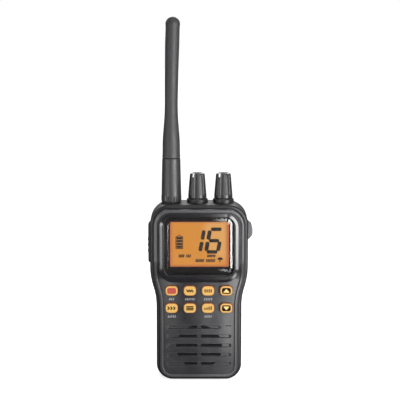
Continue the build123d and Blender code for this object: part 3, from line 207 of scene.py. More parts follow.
def moulded(name, colour, roughness, grain_mm, relief_mm, wear_and_sheen_colour, drift=0.07, sheen_edge_mm=0.0,
            crown_mm=0.0, crest_sheen_mm=(), bloom_share=0.35, **constants):
    """Moulded polymer: pebbled grain, a slow drift of gloss and, on request, painted edge
    highlights.

    A crown is the radius to which a broad face swells between its sides. A crest is the pair
    of depths between which raised parts turn lighter as a painted highlight.
    """
    blotch_mm = 14.0                    # of the patches that handling leaves
    crown_low, crown_high = 0.066, 0.078    # metres: most of the swell dies away here
    material, tree, shader = start_material(name, colour, roughness, **constants)
    place = put(tree, "ShaderNodeTexCoord").outputs["Object"]
    grain = put(tree, "ShaderNodeTexNoise", {
        "Vector": place, "Scale": 1000 / grain_mm, "Detail": 2.0})
    bump = put(tree, "ShaderNodeBump", {
        "Height": grain.outputs["Fac"], "Distance": relief_mm / 1000})
    tree.links.new(bump.outputs["Normal"], shader.inputs["Normal"])
    apart = put(tree, "ShaderNodeSeparateXYZ", {0: place})
    if crown_mm:
        # The face falls by x * x / (2 * radius) from its middle line.
        square = put(tree, "ShaderNodeMath", {0: apart.outputs["X"], 1: apart.outputs["X"]},
                     operation="MULTIPLY")
        fade = put(tree, "ShaderNodeMapRange", {
            "Value": apart.outputs["Z"], "From Min": crown_low, "From Max": crown_high,
            "To Min": 1.0, "To Max": 0.25}, interpolation_type="SMOOTHSTEP")
        height = put(tree, "ShaderNodeMath", {0: square.outputs[0], 1: fade.outputs[0]},
                     operation="MULTIPLY")
        swell = put(tree, "ShaderNodeBump", {
            "Height": height.outputs[0], "Distance": 500 / crown_mm}, invert=True)
        tree.links.new(swell.outputs["Normal"], bump.inputs["Normal"])
    rubbed = put(tree, "ShaderNodeTexNoise", {
        "Vector": place, "Scale": 1000 / blotch_mm, "Detail": 4.0})
    gloss = put(tree, "ShaderNodeMapRange", {
        "Value": rubbed.outputs["Fac"], "From Min": 0.3, "From Max": 0.7,
        "To Min": roughness - drift, "To Max": roughness + drift})
    tree.links.new(gloss.outputs[0], shader.inputs["Roughness"])
    bloom = put(tree, "ShaderNodeMapRange", {
        "Value": rubbed.outputs["Fac"], "From Min": 0.45, "From Max": 0.75,
        "To Min": 0.0, "To Max": bloom_share})
    worn_and_sheen = bloom.outputs[0]
    # Raised parts between the crest depths turn lighter: a painted highlight.
    if crest_sheen_mm:
        raised = put(tree, "ShaderNodeMapRange", {
            "Value": apart.outputs["Y"], "From Min": -crest_sheen_mm[0] / 1000,
            "From Max": -crest_sheen_mm[1] / 1000, "To Min": 0.0, "To Max": 0.4})
        worn_and_sheen = put(tree, "ShaderNodeMath", {0: worn_and_sheen, 1: raised.outputs[0]},
                   operation="MAXIMUM").outputs[0]
    if sheen_edge_mm:
        # Where the rounded normal leaves the face's own, an edge lies close and is lightened as a
        # painted highlight.
        rounded = put(tree, "ShaderNodeBevel", {"Radius": sheen_edge_mm / 1000}, samples=4)
        face = put(tree, "ShaderNodeNewGeometry")
        along = put(tree, "ShaderNodeVectorMath", {
            0: rounded.outputs[0], 1: face.outputs["Normal"]}, operation="DOT_PRODUCT")
        edge = put(tree, "ShaderNodeMapRange", {
            "Value": along.outputs["Value"], "From Min": 0.985, "From Max": 0.9,
            "To Min": 0.0, "To Max": 0.8})
        worn_and_sheen = put(tree, "ShaderNodeMath", {0: worn_and_sheen, 1: edge.outputs[0]},
                   operation="MAXIMUM").outputs[0]
    # The blotches are handling wear; the edge and crest shares are painted highlight.
    shade = put(tree, "ShaderNodeMix", {0: worn_and_sheen, 6: linear(colour), 7: linear(wear_and_sheen_colour)},
                data_type="RGBA")
    tree.links.new(shade.outputs[2], shader.inputs["Base Color"])
    return material


def dress(material, *names):
    """Gives CAD nodes a finish in the material slots of their own objects."""
    for name in names:
        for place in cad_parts[name].material_slots:
            place.material = material


# The real grain is about 0.1 mm; it is drawn at 0.4 mm so that it shows at arm's length.
# Its edges are lightened a little as a painted highlight.
case_plastic = moulded("pc_abs_spark_textured", "#19181a", 0.40, 0.4, 0.008, "#232223",
                       sheen_edge_mm=0.35, Specular_IOR_Level=0.35)
dress(case_plastic, "housing_shell", "strap_eyelet")
# The cover has a finer texture, and its bead and edges are painted a lighter grey as a painted
# highlight.
cover_plastic = moulded("pc_abs_fine_textured", "#1f1e20", 0.33, 0.4, 0.006, "#545254",
                        sheen_edge_mm=0.45, crown_mm=56.0, crest_sheen_mm=(15.3, 15.6), bloom_share=0.08)
dress(cover_plastic, "front_cover")


# ---- Case seal ----------------------------------------------------------------------------
# Square-section silicone ring squeezed between front cover and housing, moulded with a
# smooth skin and a trace of talc. The antenna and lock seals are like it.

seal_rubber = moulded("silicone_seal_black", "#141414", 0.55, 0.6, 0.01, "#242424")
dress(seal_rubber, "case_seal", "antenna_seal", "lock_seal")


# ---- Display trim ring --------------------------------------------------------------------
# Polished black ABS ring glued to the panel round the window. The polished tool leaves
# only a very shallow orange peel under a hard clear coat.

bezel_plastic = moulded("abs_polished_black", "#131214", 0.13, 6.0, 0.012, "#19181a", 0.03)
dress(bezel_plastic, "display_bezel")


# ---- Display window -----------------------------------------------------------------------
# Clear acrylic plate, hard coated and flat, with a rim that rolls over to its edge. A black
# border is printed on its back face round the picture.

lens_plastic, tree, shader = start_material(
    "acrylic_hard_coated", "#ffffff", 0.01, IOR=1.53, Transmission_Weight=1.0)
place = put(tree, "ShaderNodeTexCoord").outputs["Object"]
# Fine wiping marks, a few tenths of a millimetre apart, only touch the gloss.
wiped = put(tree, "ShaderNodeMapping", {"Vector": place, "Scale": (400, 400, 3000)})
marks = put(tree, "ShaderNodeTexNoise", {"Vector": wiped.outputs[0], "Scale": 1.0, "Detail": 3.0})
gloss = put(tree, "ShaderNodeMapRange", {
    "Value": marks.outputs["Fac"], "From Min": 0.4, "From Max": 0.8,
    "To Min": 0.0, "To Max": 0.03})
tree.links.new(gloss.outputs[0], shader.inputs["Roughness"])


def thicken(name, size, corner, steps, thick):
    """Sizes the flat shape that was just added, rounds its corners and extrudes it."""
    made = bpy.context.object
    made.name = name
    made.scale = (*size, 1)
    bpy.ops.object.transform_apply(location=True, rotation=True, scale=True)
    bpy.ops.object.mode_set(mode="EDIT")
    bpy.ops.mesh.select_all(action="SELECT")
    bpy.ops.mesh.bevel(offset=corner, segments=steps, affect="VERTICES")
    bpy.ops.mesh.select_all(action="SELECT")
    bpy.ops.mesh.extrude_region_move(TRANSFORM_OT_translate={"value": (0, thick, 0)})
    bpy.ops.mesh.select_all(action="SELECT")
    bpy.ops.mesh.normals_make_consistent(inside=False)
    bpy.ops.object.mode_set(mode="OBJECT")
    return made


def flat_shape(name, width, height, corner, x, z, front, thick, turn=0.0, steps=5):
    """Flat rounded rectangle that faces -Y, in metres."""
    bpy.ops.object.select_all(action="DESELECT")
    bpy.ops.mesh.primitive_plane_add(
        size=1, location=(x, front, z), rotation=(radians(90), turn, 0))
    return thicken(name, (width, height), corner, steps, thick)


def cut_from(piece, tool):
    """Cuts one shape from another and throws the cutter away."""
    bpy.ops.object.select_all(action="DESELECT")
    piece.select_set(True)
    bpy.context.view_layer.objects.active = piece
    cut = piece.modifiers.new("cut", "BOOLEAN")
    cut.operation, cut.object, cut.solver = "DIFFERENCE", tool, "EXACT"
    bpy.ops.object.modifier_apply(modifier=cut.name)
    bpy.data.objects.remove(tool)


def finish(piece, material, body):
    """Dresses a piece of this file and lets it ride on its body."""
    piece.data.materials.append(material)
    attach(piece, body)


lens_low, lens_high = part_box("display_lens")
lens_width, lens_height = lens_high.x - lens_low.x, lens_high.z - lens_low.z
lens_mid, lens_corner = (lens_low.z + lens_high.z) / 2, 0.0045
# The rim from outside in: width of each ring in metres and its slope in degrees.
rings = ((0.0001, 23), (0.0017, 23), (0.0001, 23), (0.0003, 17), (0.0004, 11), (0.0005, 6),
         (0.0007, 3), (0.0003, 1))
edge_depth = sum(wide * tan(radians(fall)) for wide, fall in rings)
cover_glass = flat_shape(
    "display_window", lens_width, lens_height, lens_corner, 0, lens_mid,
    lens_low.y + edge_depth, lens_high.y - lens_low.y - edge_depth, steps=16)
bpy.ops.object.mode_set(mode="EDIT")
bpy.ops.mesh.select_all(action="DESELECT")
bpy.ops.mesh.select_mode(type="FACE")
bpy.ops.object.mode_set(mode="OBJECT")
for face in cover_glass.data.polygons:
    face.select = face.normal.y < -0.99     # the front face only
bpy.ops.object.mode_set(mode="EDIT")
for wide, fall in rings:
    bpy.ops.mesh.inset(thickness=wide, depth=wide * tan(radians(fall)))
bpy.ops.mesh.select_mode(type="VERT")
bpy.ops.object.mode_set(mode="OBJECT")
bpy.ops.object.shade_smooth_by_angle(angle=radians(35))
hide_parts("display_lens")
finish(cover_glass, lens_plastic, "radio")

glass_low, glass_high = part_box("lcd_panel")
hidden_edge = 0.00125       # of the display glass behind its tray
picture_half = glass_high.x - hidden_edge
picture_low, picture_high = glass_low.z + hidden_edge, glass_high.z - hidden_edge
picture_mid = (picture_low + picture_high) / 2

border_inset, border_corner, border_thick = 0.00025, 0.0043, 0.00003
window_corner = 0.0009
window_trim, window_shift = 0.0003, 0.0003      # narrower than the picture, and off centre
print_y = lens_high.y - 0.00006
cutter_lead, cutter_thick = 0.001, 0.003        # of cutters, before and through a thin shape
border = flat_shape(
    "lens_border_print", lens_width - 2 * border_inset, lens_height - 2 * border_inset,
    border_corner, 0, lens_mid, print_y, border_thick, steps=10)
window = flat_shape(
    "window", 2 * (picture_half - window_trim), picture_high - picture_low, window_corner,
    window_shift, picture_mid, print_y - cutter_lead, cutter_thick)
cut_from(border, window)
# Screen ink seen through acrylic: it has no surface of its own to shine.
border_print = moulded("screen_printed_ink_black", "#1b1918", 0.5, 0.3, 0.002, "#222020",
                       Specular_IOR_Level=0.0)
finish(border, border_print, "radio")
dress(border_print, "lcd_frame")


# ---- Display glass ------------------------------------------------------------------------
# Twisted-nematic glass lit from behind by amber lamps: even in the middle, redder towards
# the edges where the light guide ends, with a brighter patch at the right that is a painted
# reflection. The figures are dark crystal segments.

amber, amber_cloud, amber_glare, amber_rim = "#d2861c", "#d88c26", "#dda052", "#bd5c2e"
rim_side, rim_below, rim_past = 0.0032, 0.002, 0.0004   # metres over which the rim reddens
# Painted reflection: a brighter amber patch at the picture's right, in metres.
glare_z, glare_far, glare_close = 0.006, 0.019, 0.013      # of the brighter patch at the right
guide_clouds = 90.0         # per metre: the guide's faint clouds are 11 mm wide

display_glass, tree, shader = start_material(
    "backlit_display_amber", "#1c0e05", 0.4, Specular_IOR_Level=0.1, Emission_Strength=1.0)
place = put(tree, "ShaderNodeTexCoord").outputs["Object"]
centred = put(tree, "ShaderNodeMapping", {
    "Vector": place, "Location": (0, 0, -picture_mid)}, vector_type="POINT")
apart = put(tree, "ShaderNodeSeparateXYZ", {0: centred.outputs[0]})
sides = put(tree, "ShaderNodeMath", {0: apart.outputs["X"]}, operation="ABSOLUTE")
across = put(tree, "ShaderNodeMapRange", {
    "Value": sides.outputs[0], "From Min": picture_half - rim_side, "From Max": picture_half,
    "To Min": 0.0, "To Max": 1.0}, interpolation_type="SMOOTHSTEP")
heights = put(tree, "ShaderNodeMath", {0: apart.outputs["Z"]}, operation="ABSOLUTE")
upward = put(tree, "ShaderNodeMapRange", {
    "Value": heights.outputs[0], "From Min": picture_high - picture_mid - rim_below,
    "From Max": picture_high - picture_mid + rim_past, "To Min": 0.0, "To Max": 1.0},
    interpolation_type="SMOOTHSTEP")
rim = put(tree, "ShaderNodeMath", {0: across.outputs[0], 1: upward.outputs[0]},
          operation="MAXIMUM")
cloud = put(tree, "ShaderNodeTexNoise", {
    "Vector": place, "Scale": guide_clouds, "Detail": 1.0})
uneven = put(tree, "ShaderNodeMix", {
    0: cloud.outputs["Fac"], 6: linear(amber), 7: linear(amber_cloud)}, data_type="RGBA")
# Painted reflection: the amber lightens towards a spot at the picture's right.
glare_middle = put(tree, "ShaderNodeVectorMath", {
    0: centred.outputs[0], 1: (picture_half, glass_low.y, glare_z)}, operation="DISTANCE")
glare_mask = put(tree, "ShaderNodeMapRange", {
    "Value": glare_middle.outputs["Value"], "From Min": glare_far, "From Max": glare_close,
    "To Min": 0.0, "To Max": 1.0}, interpolation_type="SMOOTHSTEP")
bright = put(tree, "ShaderNodeMix", {
    0: glare_mask.outputs[0], 6: uneven.outputs[2], 7: linear(amber_glare)}, data_type="RGBA")
lit = put(tree, "ShaderNodeMix", {
    0: rim.outputs[0], 6: bright.outputs[2], 7: linear(amber_rim)}, data_type="RGBA")
tree.links.new(lit.outputs[2], shader.inputs["Emission Color"])
dress(display_glass, "lcd_panel", "light_guide")

# Switched crystal: nearly black, a trace of the amber behind it in hazes 1.4 mm wide, and
# no gloss under the window.
crystal, tree, shader = start_material(
    "liquid_crystal_dark", "#1e0f06", 0.5, Specular_IOR_Level=0.0)
place = put(tree, "ShaderNodeTexCoord").outputs["Object"]
haze = put(tree, "ShaderNodeTexNoise", {"Vector": place, "Scale": 700.0, "Detail": 2.0})
tone = put(tree, "ShaderNodeMix", {
    0: haze.outputs["Fac"], 6: linear("#120802"), 7: linear("#1a0d05")}, data_type="RGBA")
tree.links.new(tone.outputs[2], shader.inputs["Base Color"])

figure_front, figure_thick = glass_low.y - 0.00006, 0.00005


def bar(ends, width, blunt, x, z, front, thick, steps, past=0.0):
    """Rounded bar between two points that are in millimetres from a middle in metres."""
    x1, z1, x2, z2 = ends
    dx, dz = x2 - x1, z2 - z1
    return flat_shape(
        "bar", (hypot(dx, dz) + past) / 1000, width / 1000, width * blunt / 1000,
        x + (x1 + x2) / 2000, z + (z1 + z2) / 2000, front, thick, turn=-atan2(dz, dx),
        steps=steps)


def stroke(ends, width=2.35, blunt=0.4):
    """Bar of the display, placed from the picture's middle."""
    return bar(ends, width, blunt, 0, picture_mid, figure_front, figure_thick, 4)


def ticks(x1, x2, z, high, pitch=0.95):
    """Ends of a row of small leaning ticks that stand for an indicator, in millimetres."""
    count, lean = round((x2 - x1) / pitch), 0.1
    for n in range(count):
        middle = x1 + (n + 0.5) * (x2 - x1) / count
        yield middle - lean * high, z - high / 2, middle + lean * high, z + high / 2


def join(name, shapes):
    """Makes one piece of several shapes."""
    bpy.ops.object.select_all(action="DESELECT")
    for shape in shapes:
        shape.select_set(True)
    bpy.context.view_layer.objects.active = shapes[0]
    bpy.ops.object.join()
    shapes[0].name = name
    return shapes[0]


digits = [
    stroke((3.15, 8.9, 2.05, 2.9)), stroke((1.8, 1.5, 0.7, -4.4)),
    stroke((6.9, 8.8, 5.8, 2.9), 2.5), stroke((5.55, 1.55, 4.5, -4.35), 2.5),
    stroke((13.1, 1.65, 11.9, -4.3), 2.4), stroke((7.5, 9.5, 14.1, 9.5), 2.25),
    stroke((6.3, 2.25, 12.6, 2.25), 2.2), stroke((4.8, -4.9, 11.6, -4.9), 2.2),
]
gauge = [stroke((-14.1, z, -10.7, z), 1.5, 0.1) for z in (3.8, 2.0, 0.15, -1.65)]
gauge += [stroke(line, 0.5, 0.1) for line in (
    (-14.5, 4.9, -14.5, -2.9), (-10.3, 4.9, -10.3, -2.9), (-14.6, -2.8, -10.2, -2.8),
    (-14.6, 4.8, -13.3, 4.8), (-11.5, 4.8, -10.2, 4.8), (-13.4, 4.8, -12.4, 6.0),
    (-12.4, 6.0, -11.4, 4.8))]
marks = [stroke(tick, 0.74, 0.2) for row in (
    (-12.7, -9.2, -7.5, 1.9), (-8.1, -5.1, -7.5, 1.9), (5.1, 10.4, -7.45, 1.6),
    (-2.3, 3.2, -10.45, 1.9), (4.3, 10.2, -10.45, 1.9)) for tick in ticks(*row)]

# A small shelter sign: a rounded roof, cut off level, on a post.
shelter_x = 0.01335
shelter = flat_shape(
    "shelter", 0.0033, 0.0030, 0.0013, shelter_x, picture_mid - 0.0099, figure_front,
    figure_thick)
level = flat_shape(
    "cutter", 0.005, 0.003, 0.0002, shelter_x, picture_mid - 0.0115,
    figure_front - cutter_lead, cutter_thick)
cut_from(shelter, level)
marks += [shelter, stroke((13.2, -11.5, 13.2, -9.8), 0.6, 0.1)]
finish(join("display_figures", digits + gauge + marks), crystal, "radio")


# ---- Keys ---------------------------------------------------------------------------------
# Eight translucent silicone keys lit amber from the board behind them: bright crowns, dark
# orange skirts where the light fades. Ink pads and signs are printed on their crowns.

crown_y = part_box("key_scan")[0].y
silicone, silicone_skirt = "#6b4a1c", "#32150a"
crown_light, crown_cloud, skirt_light = "#dcae55", "#e4ba6a", "#6e2a12"
skirt_start, skirt_end = 0.00002, 0.0004    # metres behind the crown
crown_cloud_mm = 2.5
key_silicone, tree, shader = start_material(
    "silicone_translucent_amber", silicone, 0.42, Emission_Strength=0.72)
place = put(tree, "ShaderNodeTexCoord").outputs["Object"]
apart = put(tree, "ShaderNodeSeparateXYZ", {0: place})
skirt = put(tree, "ShaderNodeMapRange", {
    "Value": apart.outputs["Y"], "From Min": crown_y + skirt_start,
    "From Max": crown_y + skirt_end, "To Min": 0.0, "To Max": 1.0})
cloud = put(tree, "ShaderNodeTexNoise", {
    "Vector": place, "Scale": 1000 / crown_cloud_mm, "Detail": 1.0})
crown = put(tree, "ShaderNodeMix", {
    0: cloud.outputs["Fac"], 6: linear(crown_light), 7: linear(crown_cloud)}, data_type="RGBA")
glow = put(tree, "ShaderNodeMix", {
    0: skirt.outputs[0], 6: crown.outputs[2], 7: linear(skirt_light)}, data_type="RGBA")
tree.links.new(glow.outputs[2], shader.inputs["Emission Color"])
body = put(tree, "ShaderNodeMix", {
    0: skirt.outputs[0], 6: linear(silicone), 7: linear(silicone_skirt)}, data_type="RGBA")
tree.links.new(body.outputs[2], shader.inputs["Base Color"])
dress(key_silicone, "key_distress", "key_weather", "key_region", "key_channel_up", "key_scan",
      "key_memory", "key_power", "key_channel_down", "keypad_sheet")

# Screen inks: black stops the light, red lets a little through, cream lets most through, in
# specks 1.1 mm wide.
black_ink = moulded("key_ink_black", "#110a05", 0.6, 0.3, 0.003, "#1a100a",
                    Specular_IOR_Level=0.1)
red_ink = moulded("key_ink_red", "#842a1e", 0.5, 0.3, 0.003, "#8e3226",
                  Emission_Color=linear("#b84a30"), Emission_Strength=0.1)
cream_ink, tree, shader = start_material(
    "key_window_cream", "#b08f55", 0.45, Emission_Strength=0.42)
place = put(tree, "ShaderNodeTexCoord").outputs["Object"]
speck = put(tree, "ShaderNodeTexNoise", {"Vector": place, "Scale": 900.0, "Detail": 2.0})
tone = put(tree, "ShaderNodeMix", {
    0: speck.outputs["Fac"], 6: linear("#e6c078"), 7: linear("#dcb066")}, data_type="RGBA")
tree.links.new(tone.outputs[2], shader.inputs["Emission Color"])

ink_front, ink_thick = crown_y - 0.00003, 0.00003


def key_middle(key):
    """Middle of a key's crown, in metres."""
    low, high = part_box(f"key_{key}")
    return (low.x + high.x) / 2, (low.z + high.z) / 2


def sign(name, x, z, front, bars, width=0.74):
    """Joins bars about a middle; their ends are in millimetres from it."""
    return join(name, [bar(ends, width, 0.45, x, z, front, ink_thick, 3, past=width)
                       for ends in bars])


key_signs = {
    "weather": [(-2.0, 0.6, -1.2, -0.6), (-1.2, -0.6, -0.4, 0.6), (-0.4, 0.6, 0.4, -0.6),
                (0.4, -0.6, 1.2, 0.6), (1.2, 0.6, 2.0, -0.6)],
    "region": [(x, 0.7, x, -0.7) for x in (-1.9, -0.65, 0.65, 1.9)],
    "scan": [(x, side * 0.8, x + 0.8, 0) for x in (-2.3, -0.5, 1.3) for side in (1, -1)],
    "memory": [(-2.0, z, 2.0, z) for z in (0.98, 0, -0.98)],
    "power": [(x, -0.8, x, top) for x, top in ((-2.0, -0.1), (-0.7, 0.3), (0.6, 0.7), (1.9, 1.1))],
}
for key, bars in key_signs.items():
    finish(sign(f"{key}_sign", *key_middle(key), ink_front, bars), black_ink, f"{key}_key")

pad_width, pad_height, pad_corner = 0.0056, 0.0038, 0.0012
arrow_radius, arrow_squash, arrow_corner, arrow_lift = 0.0023, 0.66, 0.0002, 0.0003
arrow_front, arrow_thick = crown_y - 0.00005, 0.00002
pad = flat_shape("distress_pad", pad_width, pad_height, pad_corner, *key_middle("distress"),
                 ink_front, ink_thick)
finish(pad, red_ink, "distress_key")
for key, point in (("channel_up", 1), ("channel_down", -1)):
    x, z = key_middle(key)
    pad = flat_shape(f"{key}_pad", pad_width, pad_height, pad_corner, x, z, ink_front,
                     ink_thick)
    finish(pad, black_ink, f"{key}_key")
    bpy.ops.object.select_all(action="DESELECT")
    bpy.ops.mesh.primitive_circle_add(
        vertices=3, radius=arrow_radius, fill_type="NGON",
        location=(x, arrow_front, z - point * arrow_lift),
        rotation=(radians(90), 0 if point > 0 else radians(180), 0))
    arrow = thicken(f"{key}_arrow", (1, arrow_squash), arrow_corner, 2, arrow_thick)
    finish(arrow, cream_ink, f"{key}_key")


# ---- Panel marks --------------------------------------------------------------------------
# Pad-printed light grey rows of ticks under five keys, one row for each second function.
# The ink is thin and matt, and stands a hair above the panel.

panel_ink = moulded("pad_print_light_grey", "#8d8b8e", 0.5, 0.3, 0.002, "#827f83")
panel_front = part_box("display_bezel")[1].y - 0.00002
mark_drop = 0.00575         # from a key's middle to the marks under it
for key, wide in (("distress", 3.4), ("weather", 6.4), ("region", 5.4), ("scan", 5.4),
                  ("power", 4.8)):
    x, z = key_middle(key)
    row = ticks(-wide / 2, wide / 2, 0, 1.0, 1.05)
    finish(sign(f"{key}_mark", x, z - mark_drop, panel_front, row, 0.4), panel_ink, "radio")


# ---- Sound and boards ---------------------------------------------------------------------
# Behind the grille: a black breathable film and the loudspeaker, its basket pressed and zinc
# plated. The boards are green glass-epoxy with buried copper tracks; lids are bright tin.

# The film swallows nearly all light; the microphone's rubber boot is dark and matt.
film = moulded("expanded_ptfe_film_black", "#080808", 0.9, 0.5, 0.01, "#0e0e0f",
               Specular_IOR_Level=0.2)
dress(film, "speaker_membrane")
boot_rubber = moulded("silicone_boot_matt_black", "#040404", 0.8, 0.5, 0.01, "#080808",
                      Specular_IOR_Level=0.1)
dress(boot_rubber, "microphone_boot")


def metal(name, colour, roughness, line_mm, relief_mm, tarnish, stretch=(1, 1, 1)):
    """Bare or plated metal: machining or casting marks of a real size, faintly tarnished."""
    stain_mm = 6.0
    material, tree, shader = start_material(name, colour, roughness, Metallic=1.0)
    place = put(tree, "ShaderNodeTexCoord").outputs["Object"]
    drawn = put(tree, "ShaderNodeMapping", {"Vector": place, "Scale": stretch})
    line = put(tree, "ShaderNodeTexNoise", {
        "Vector": drawn.outputs[0], "Scale": 1000 / line_mm, "Detail": 2.0})
    bump = put(tree, "ShaderNodeBump", {
        "Height": line.outputs["Fac"], "Distance": relief_mm / 1000})
    tree.links.new(bump.outputs["Normal"], shader.inputs["Normal"])
    gloss = put(tree, "ShaderNodeMapRange", {
        "Value": line.outputs["Fac"], "From Min": 0.3, "From Max": 0.7,
        "To Min": roughness * 0.75, "To Max": roughness * 1.25})
    tree.links.new(gloss.outputs[0], shader.inputs["Roughness"])
    aged = put(tree, "ShaderNodeTexNoise", {
        "Vector": place, "Scale": 1000 / stain_mm, "Detail": 3.0})
    shade = put(tree, "ShaderNodeMix", {
        0: aged.outputs["Fac"], 6: linear(colour), 7: linear(tarnish)}, data_type="RGBA")
    tree.links.new(shade.outputs[2], shader.inputs["Base Color"])
    return material


zinc_steel = metal("steel_pressed_zinc_plated", "#b9babb", 0.35, 0.8, 0.01, "#9b9c9f")
dress(zinc_steel, "speaker")
cone_film = moulded("polyester_cone_coated", "#2c2c2f", 0.35, 1.2, 0.03, "#3a3a3e")
dress(cone_film, "speaker_cone")
# Rolled sheet: the marks are drawn out along its height.
tin = metal("tinplate_bright", "#cfcfca", 0.25, 0.3, 0.004, "#b5b5ae", (1, 1, 0.05))
dress(tin, "shield_can", "microphone")

# Solder mask over copper: tracks show as paler lines, slightly raised, 2.1 mm apart up the
# board and 4.2 mm apart along it.
brick_unit_mm = 3.0
mask_green, mask_light, mask_track = "#0f4a26", "#135a30", "#1f7441"
board, tree, shader = start_material("glass_epoxy_solder_mask", mask_green, 0.35)
place = put(tree, "ShaderNodeTexCoord").outputs["Object"]
faced = put(tree, "ShaderNodeMapping", {"Vector": place, "Rotation": (radians(90), 0, 0)})
tracks = put(tree, "ShaderNodeTexBrick", {
    "Vector": faced.outputs[0], "Color1": linear(mask_light), "Color2": linear(mask_green),
    "Mortar": linear(mask_track), "Scale": 1000 / brick_unit_mm, "Mortar Size": 0.06,
    "Brick Width": 1.4, "Row Height": 0.7})
tree.links.new(tracks.outputs["Color"], shader.inputs["Base Color"])
raised = put(tree, "ShaderNodeBump", {"Height": tracks.outputs["Fac"], "Distance": 0.00003})
tree.links.new(raised.outputs["Normal"], shader.inputs["Normal"])
dress(board, "control_board", "main_board")

# Component bodies: small satin mouldings, the jack's of a harder and finer plastic.
body_plastic = moulded("pbt_moulded_black", "#26262a", 0.45, 0.5, 0.01, "#313136")
dress(body_plastic, "rotary_controls", "talk_switch")
jack_plastic = moulded("pps_moulded_black", "#151516", 0.5, 0.4, 0.01, "#1f1f20")
dress(jack_plastic, "jack_socket")


# ---- Chassis and screws -------------------------------------------------------------------
# Die-cast plate, dull grey with the flow marks of its casting. The screws and shafts are
# passivated stainless, turned bright; those of the clip are black zinc plated.

cast = metal("aluminium_die_cast", "#a3a5a7", 0.5, 0.9, 0.03, "#8d8f92")
dress(cast, "chassis")
stainless = metal("stainless_turned_passivated", "#aaa9a6", 0.28, 0.15, 0.004, "#97958f")
dress(stainless, "board_screws", "case_screws", "lock_screw", "clip_pin", "volume_shaft",
      "squelch_shaft")
black_zinc = metal("steel_black_zinc", "#2b2b2e", 0.4, 0.2, 0.005, "#3a393b")
dress(black_zinc, "clip_screws")


# ---- Top controls -------------------------------------------------------------------------
# Satin ABS knobs pressed on stainless shafts, each with a white pointer filled in from the
# crown down over the shoulder.

# Their edges are lightened a little as a painted highlight.
knob_plastic = moulded("abs_satin_knob", "#1c1b1d", 0.31, 0.5, 0.008, "#2f2e30", sheen_edge_mm=0.3)
dress(knob_plastic, "volume_knob", "squelch_knob")

pointer_ink = moulded("pointer_ink_white", "#e6e6e6", 0.45, 0.3, 0.003, "#d6d6d6")
pointer_side = radians(-32)     # from the front towards the left
pointer_reach, pointer_drop = 0.0043, 0.0012    # from the knob's axis and below its top
pointer_width, pointer_length = 0.0009, 0.0025
pointer_gap, pointer_thick, grid_lift = 0.00003, 0.00005, 0.002


def pointer(knob, body):
    """Thin strip drawn over a knob's shoulder: a grid projected on it and thickened."""
    low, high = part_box(knob)
    up, out = sin(radians(45)), cos(radians(45))
    facing = Vector((sin(pointer_side) * out, -cos(pointer_side) * out, up))
    seat = Vector(((low.x + high.x) / 2 + sin(pointer_side) * pointer_reach,
                   (low.y + high.y) / 2 - cos(pointer_side) * pointer_reach,
                   high.z - pointer_drop))
    bpy.ops.object.select_all(action="DESELECT")
    bpy.ops.mesh.primitive_grid_add(
        x_subdivisions=6, y_subdivisions=16, size=1, location=seat + grid_lift * facing)
    strip = bpy.context.object
    strip.name = f"{body}_pointer"
    strip.rotation_euler = facing.to_track_quat("Z", "Y").to_euler()
    strip.scale = (pointer_width, pointer_length, 1)
    bpy.ops.object.transform_apply(location=False, rotation=False, scale=True)
    wrap = strip.modifiers.new("wrap", "SHRINKWRAP")
    wrap.target, wrap.wrap_method, wrap.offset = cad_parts[knob], "PROJECT", pointer_gap
    wrap.use_negative_direction, wrap.use_positive_direction = True, False
    wrap.use_project_z = True
    bpy.ops.object.modifier_apply(modifier=wrap.name)
    thick = strip.modifiers.new("thick", "SOLIDIFY")
    thick.thickness, thick.offset = pointer_thick, 1.0
    bpy.ops.object.modifier_apply(modifier=thick.name)
    bpy.ops.object.transform_apply(location=True, rotation=True, scale=True)
    finish(strip, pointer_ink, body)


pointer("volume_knob", "volume")
pointer("squelch_knob", "squelch")


# ---- Antenna ------------------------------------------------------------------------------
# Flexible whip: satin elastomer moulded over a wound copper core, a harder sleeve below the
# seam, a notched ring for the fingers and a nickel-plated brass thread.

antenna_rubber = moulded("elastomer_satin_black", "#262527", 0.55, 0.7, 0.01, "#2d2c2e")
dress(antenna_rubber, "antenna_whip")
# The sleeve's and ring's edges are lightened as a painted highlight.
antenna_plastic = moulded("polyamide_satin_black", "#242325", 0.42, 0.6, 0.01, "#323133",
                          sheen_edge_mm=0.25)
dress(antenna_plastic, "antenna_sleeve", "antenna_grip_ring")
nickel = metal("brass_nickel_plated", "#b3afa6", 0.25, 0.2, 0.004, "#a19c91")
dress(nickel, "antenna_stud", "antenna_insert", "lock_insert")
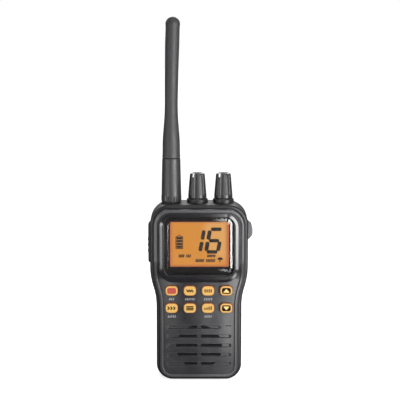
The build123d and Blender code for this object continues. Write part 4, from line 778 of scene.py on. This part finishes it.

# Enamelled wire, wound close, its grooves darkened as painted shade. Its turns, 0.6 mm apart,
# are too fine to show and are drawn 3.8 mm apart: a wave texture has a band each 0.314 of its
# unit.
band_unit_mm = 12
winding, tree, shader = start_material("copper_wire_enamelled", "#b06a3c", 0.3, Metallic=1.0)
place = put(tree, "ShaderNodeTexCoord").outputs["Object"]
turns = put(tree, "ShaderNodeTexWave", {"Vector": place, "Scale": 1000 / band_unit_mm},
            wave_type="BANDS", bands_direction="Z")
bump = put(tree, "ShaderNodeBump", {"Height": turns.outputs["Fac"], "Distance": 0.0002})
tree.links.new(bump.outputs["Normal"], shader.inputs["Normal"])
shade = put(tree, "ShaderNodeMix", {
    0: turns.outputs["Fac"], 6: linear("#7a4323"), 7: linear("#c07a48")}, data_type="RGBA")
tree.links.new(shade.outputs[2], shader.inputs["Base Color"])
dress(winding, "antenna_core")


# ---- Talk key and jack cover --------------------------------------------------------------
# Both are matt moulded rubber that scatters the light. The jack cover is of a greyer
# compound and shows the skin of its parting line.

talk_rubber = moulded("rubber_matt_black", "#1c1c1d", 0.6, 0.5, 0.02, "#272728")
dress(talk_rubber, "talk_key")
flap_rubber = moulded("rubber_matt_grey", "#4a484b", 0.62, 0.5, 0.02, "#555356")
dress(flap_rubber, "jack_flap", "jack_flap_anchor")


# ---- Battery pack and belt clip -----------------------------------------------------------
# Pack mouldings, clip base and clip finger in black PC/ABS with the case's texture, foil
# cells inside, gold-flashed contacts and a bright rolled spring under the finger.

# Their edges are lightened a little as a painted highlight.
pack_plastic = moulded("pc_abs_pack", "#1e1d1f", 0.46, 0.4, 0.012, "#2a292b", sheen_edge_mm=0.35)
dress(pack_plastic, "battery_case", "battery_cover", "clip_base", "clip_lever")
foil = metal("laminated_foil", "#c4c6ca", 0.3, 2.5, 0.12, "#aeb0b5")
dress(foil, "battery_cells")
gold = metal("brass_gold_flashed", "#c9a24e", 0.25, 0.2, 0.003, "#b58f42")
dress(gold, "battery_pads", "battery_terminals", "charge_contacts")
rolled_spring = metal("spring_steel_rolled", "#9b9b9d", 0.3, 0.12, 0.003, "#87878a",
                      (1, 1, 0.03))
dress(rolled_spring, "clip_spring")

# A copy of the spring's mesh stands in for the spring, which is hidden.
leaf = bpy.data.objects.new("clip_leaf_flexing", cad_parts["clip_spring"].data.copy())
bpy.context.scene.collection.objects.link(leaf)
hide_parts("clip_spring")
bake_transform(leaf)
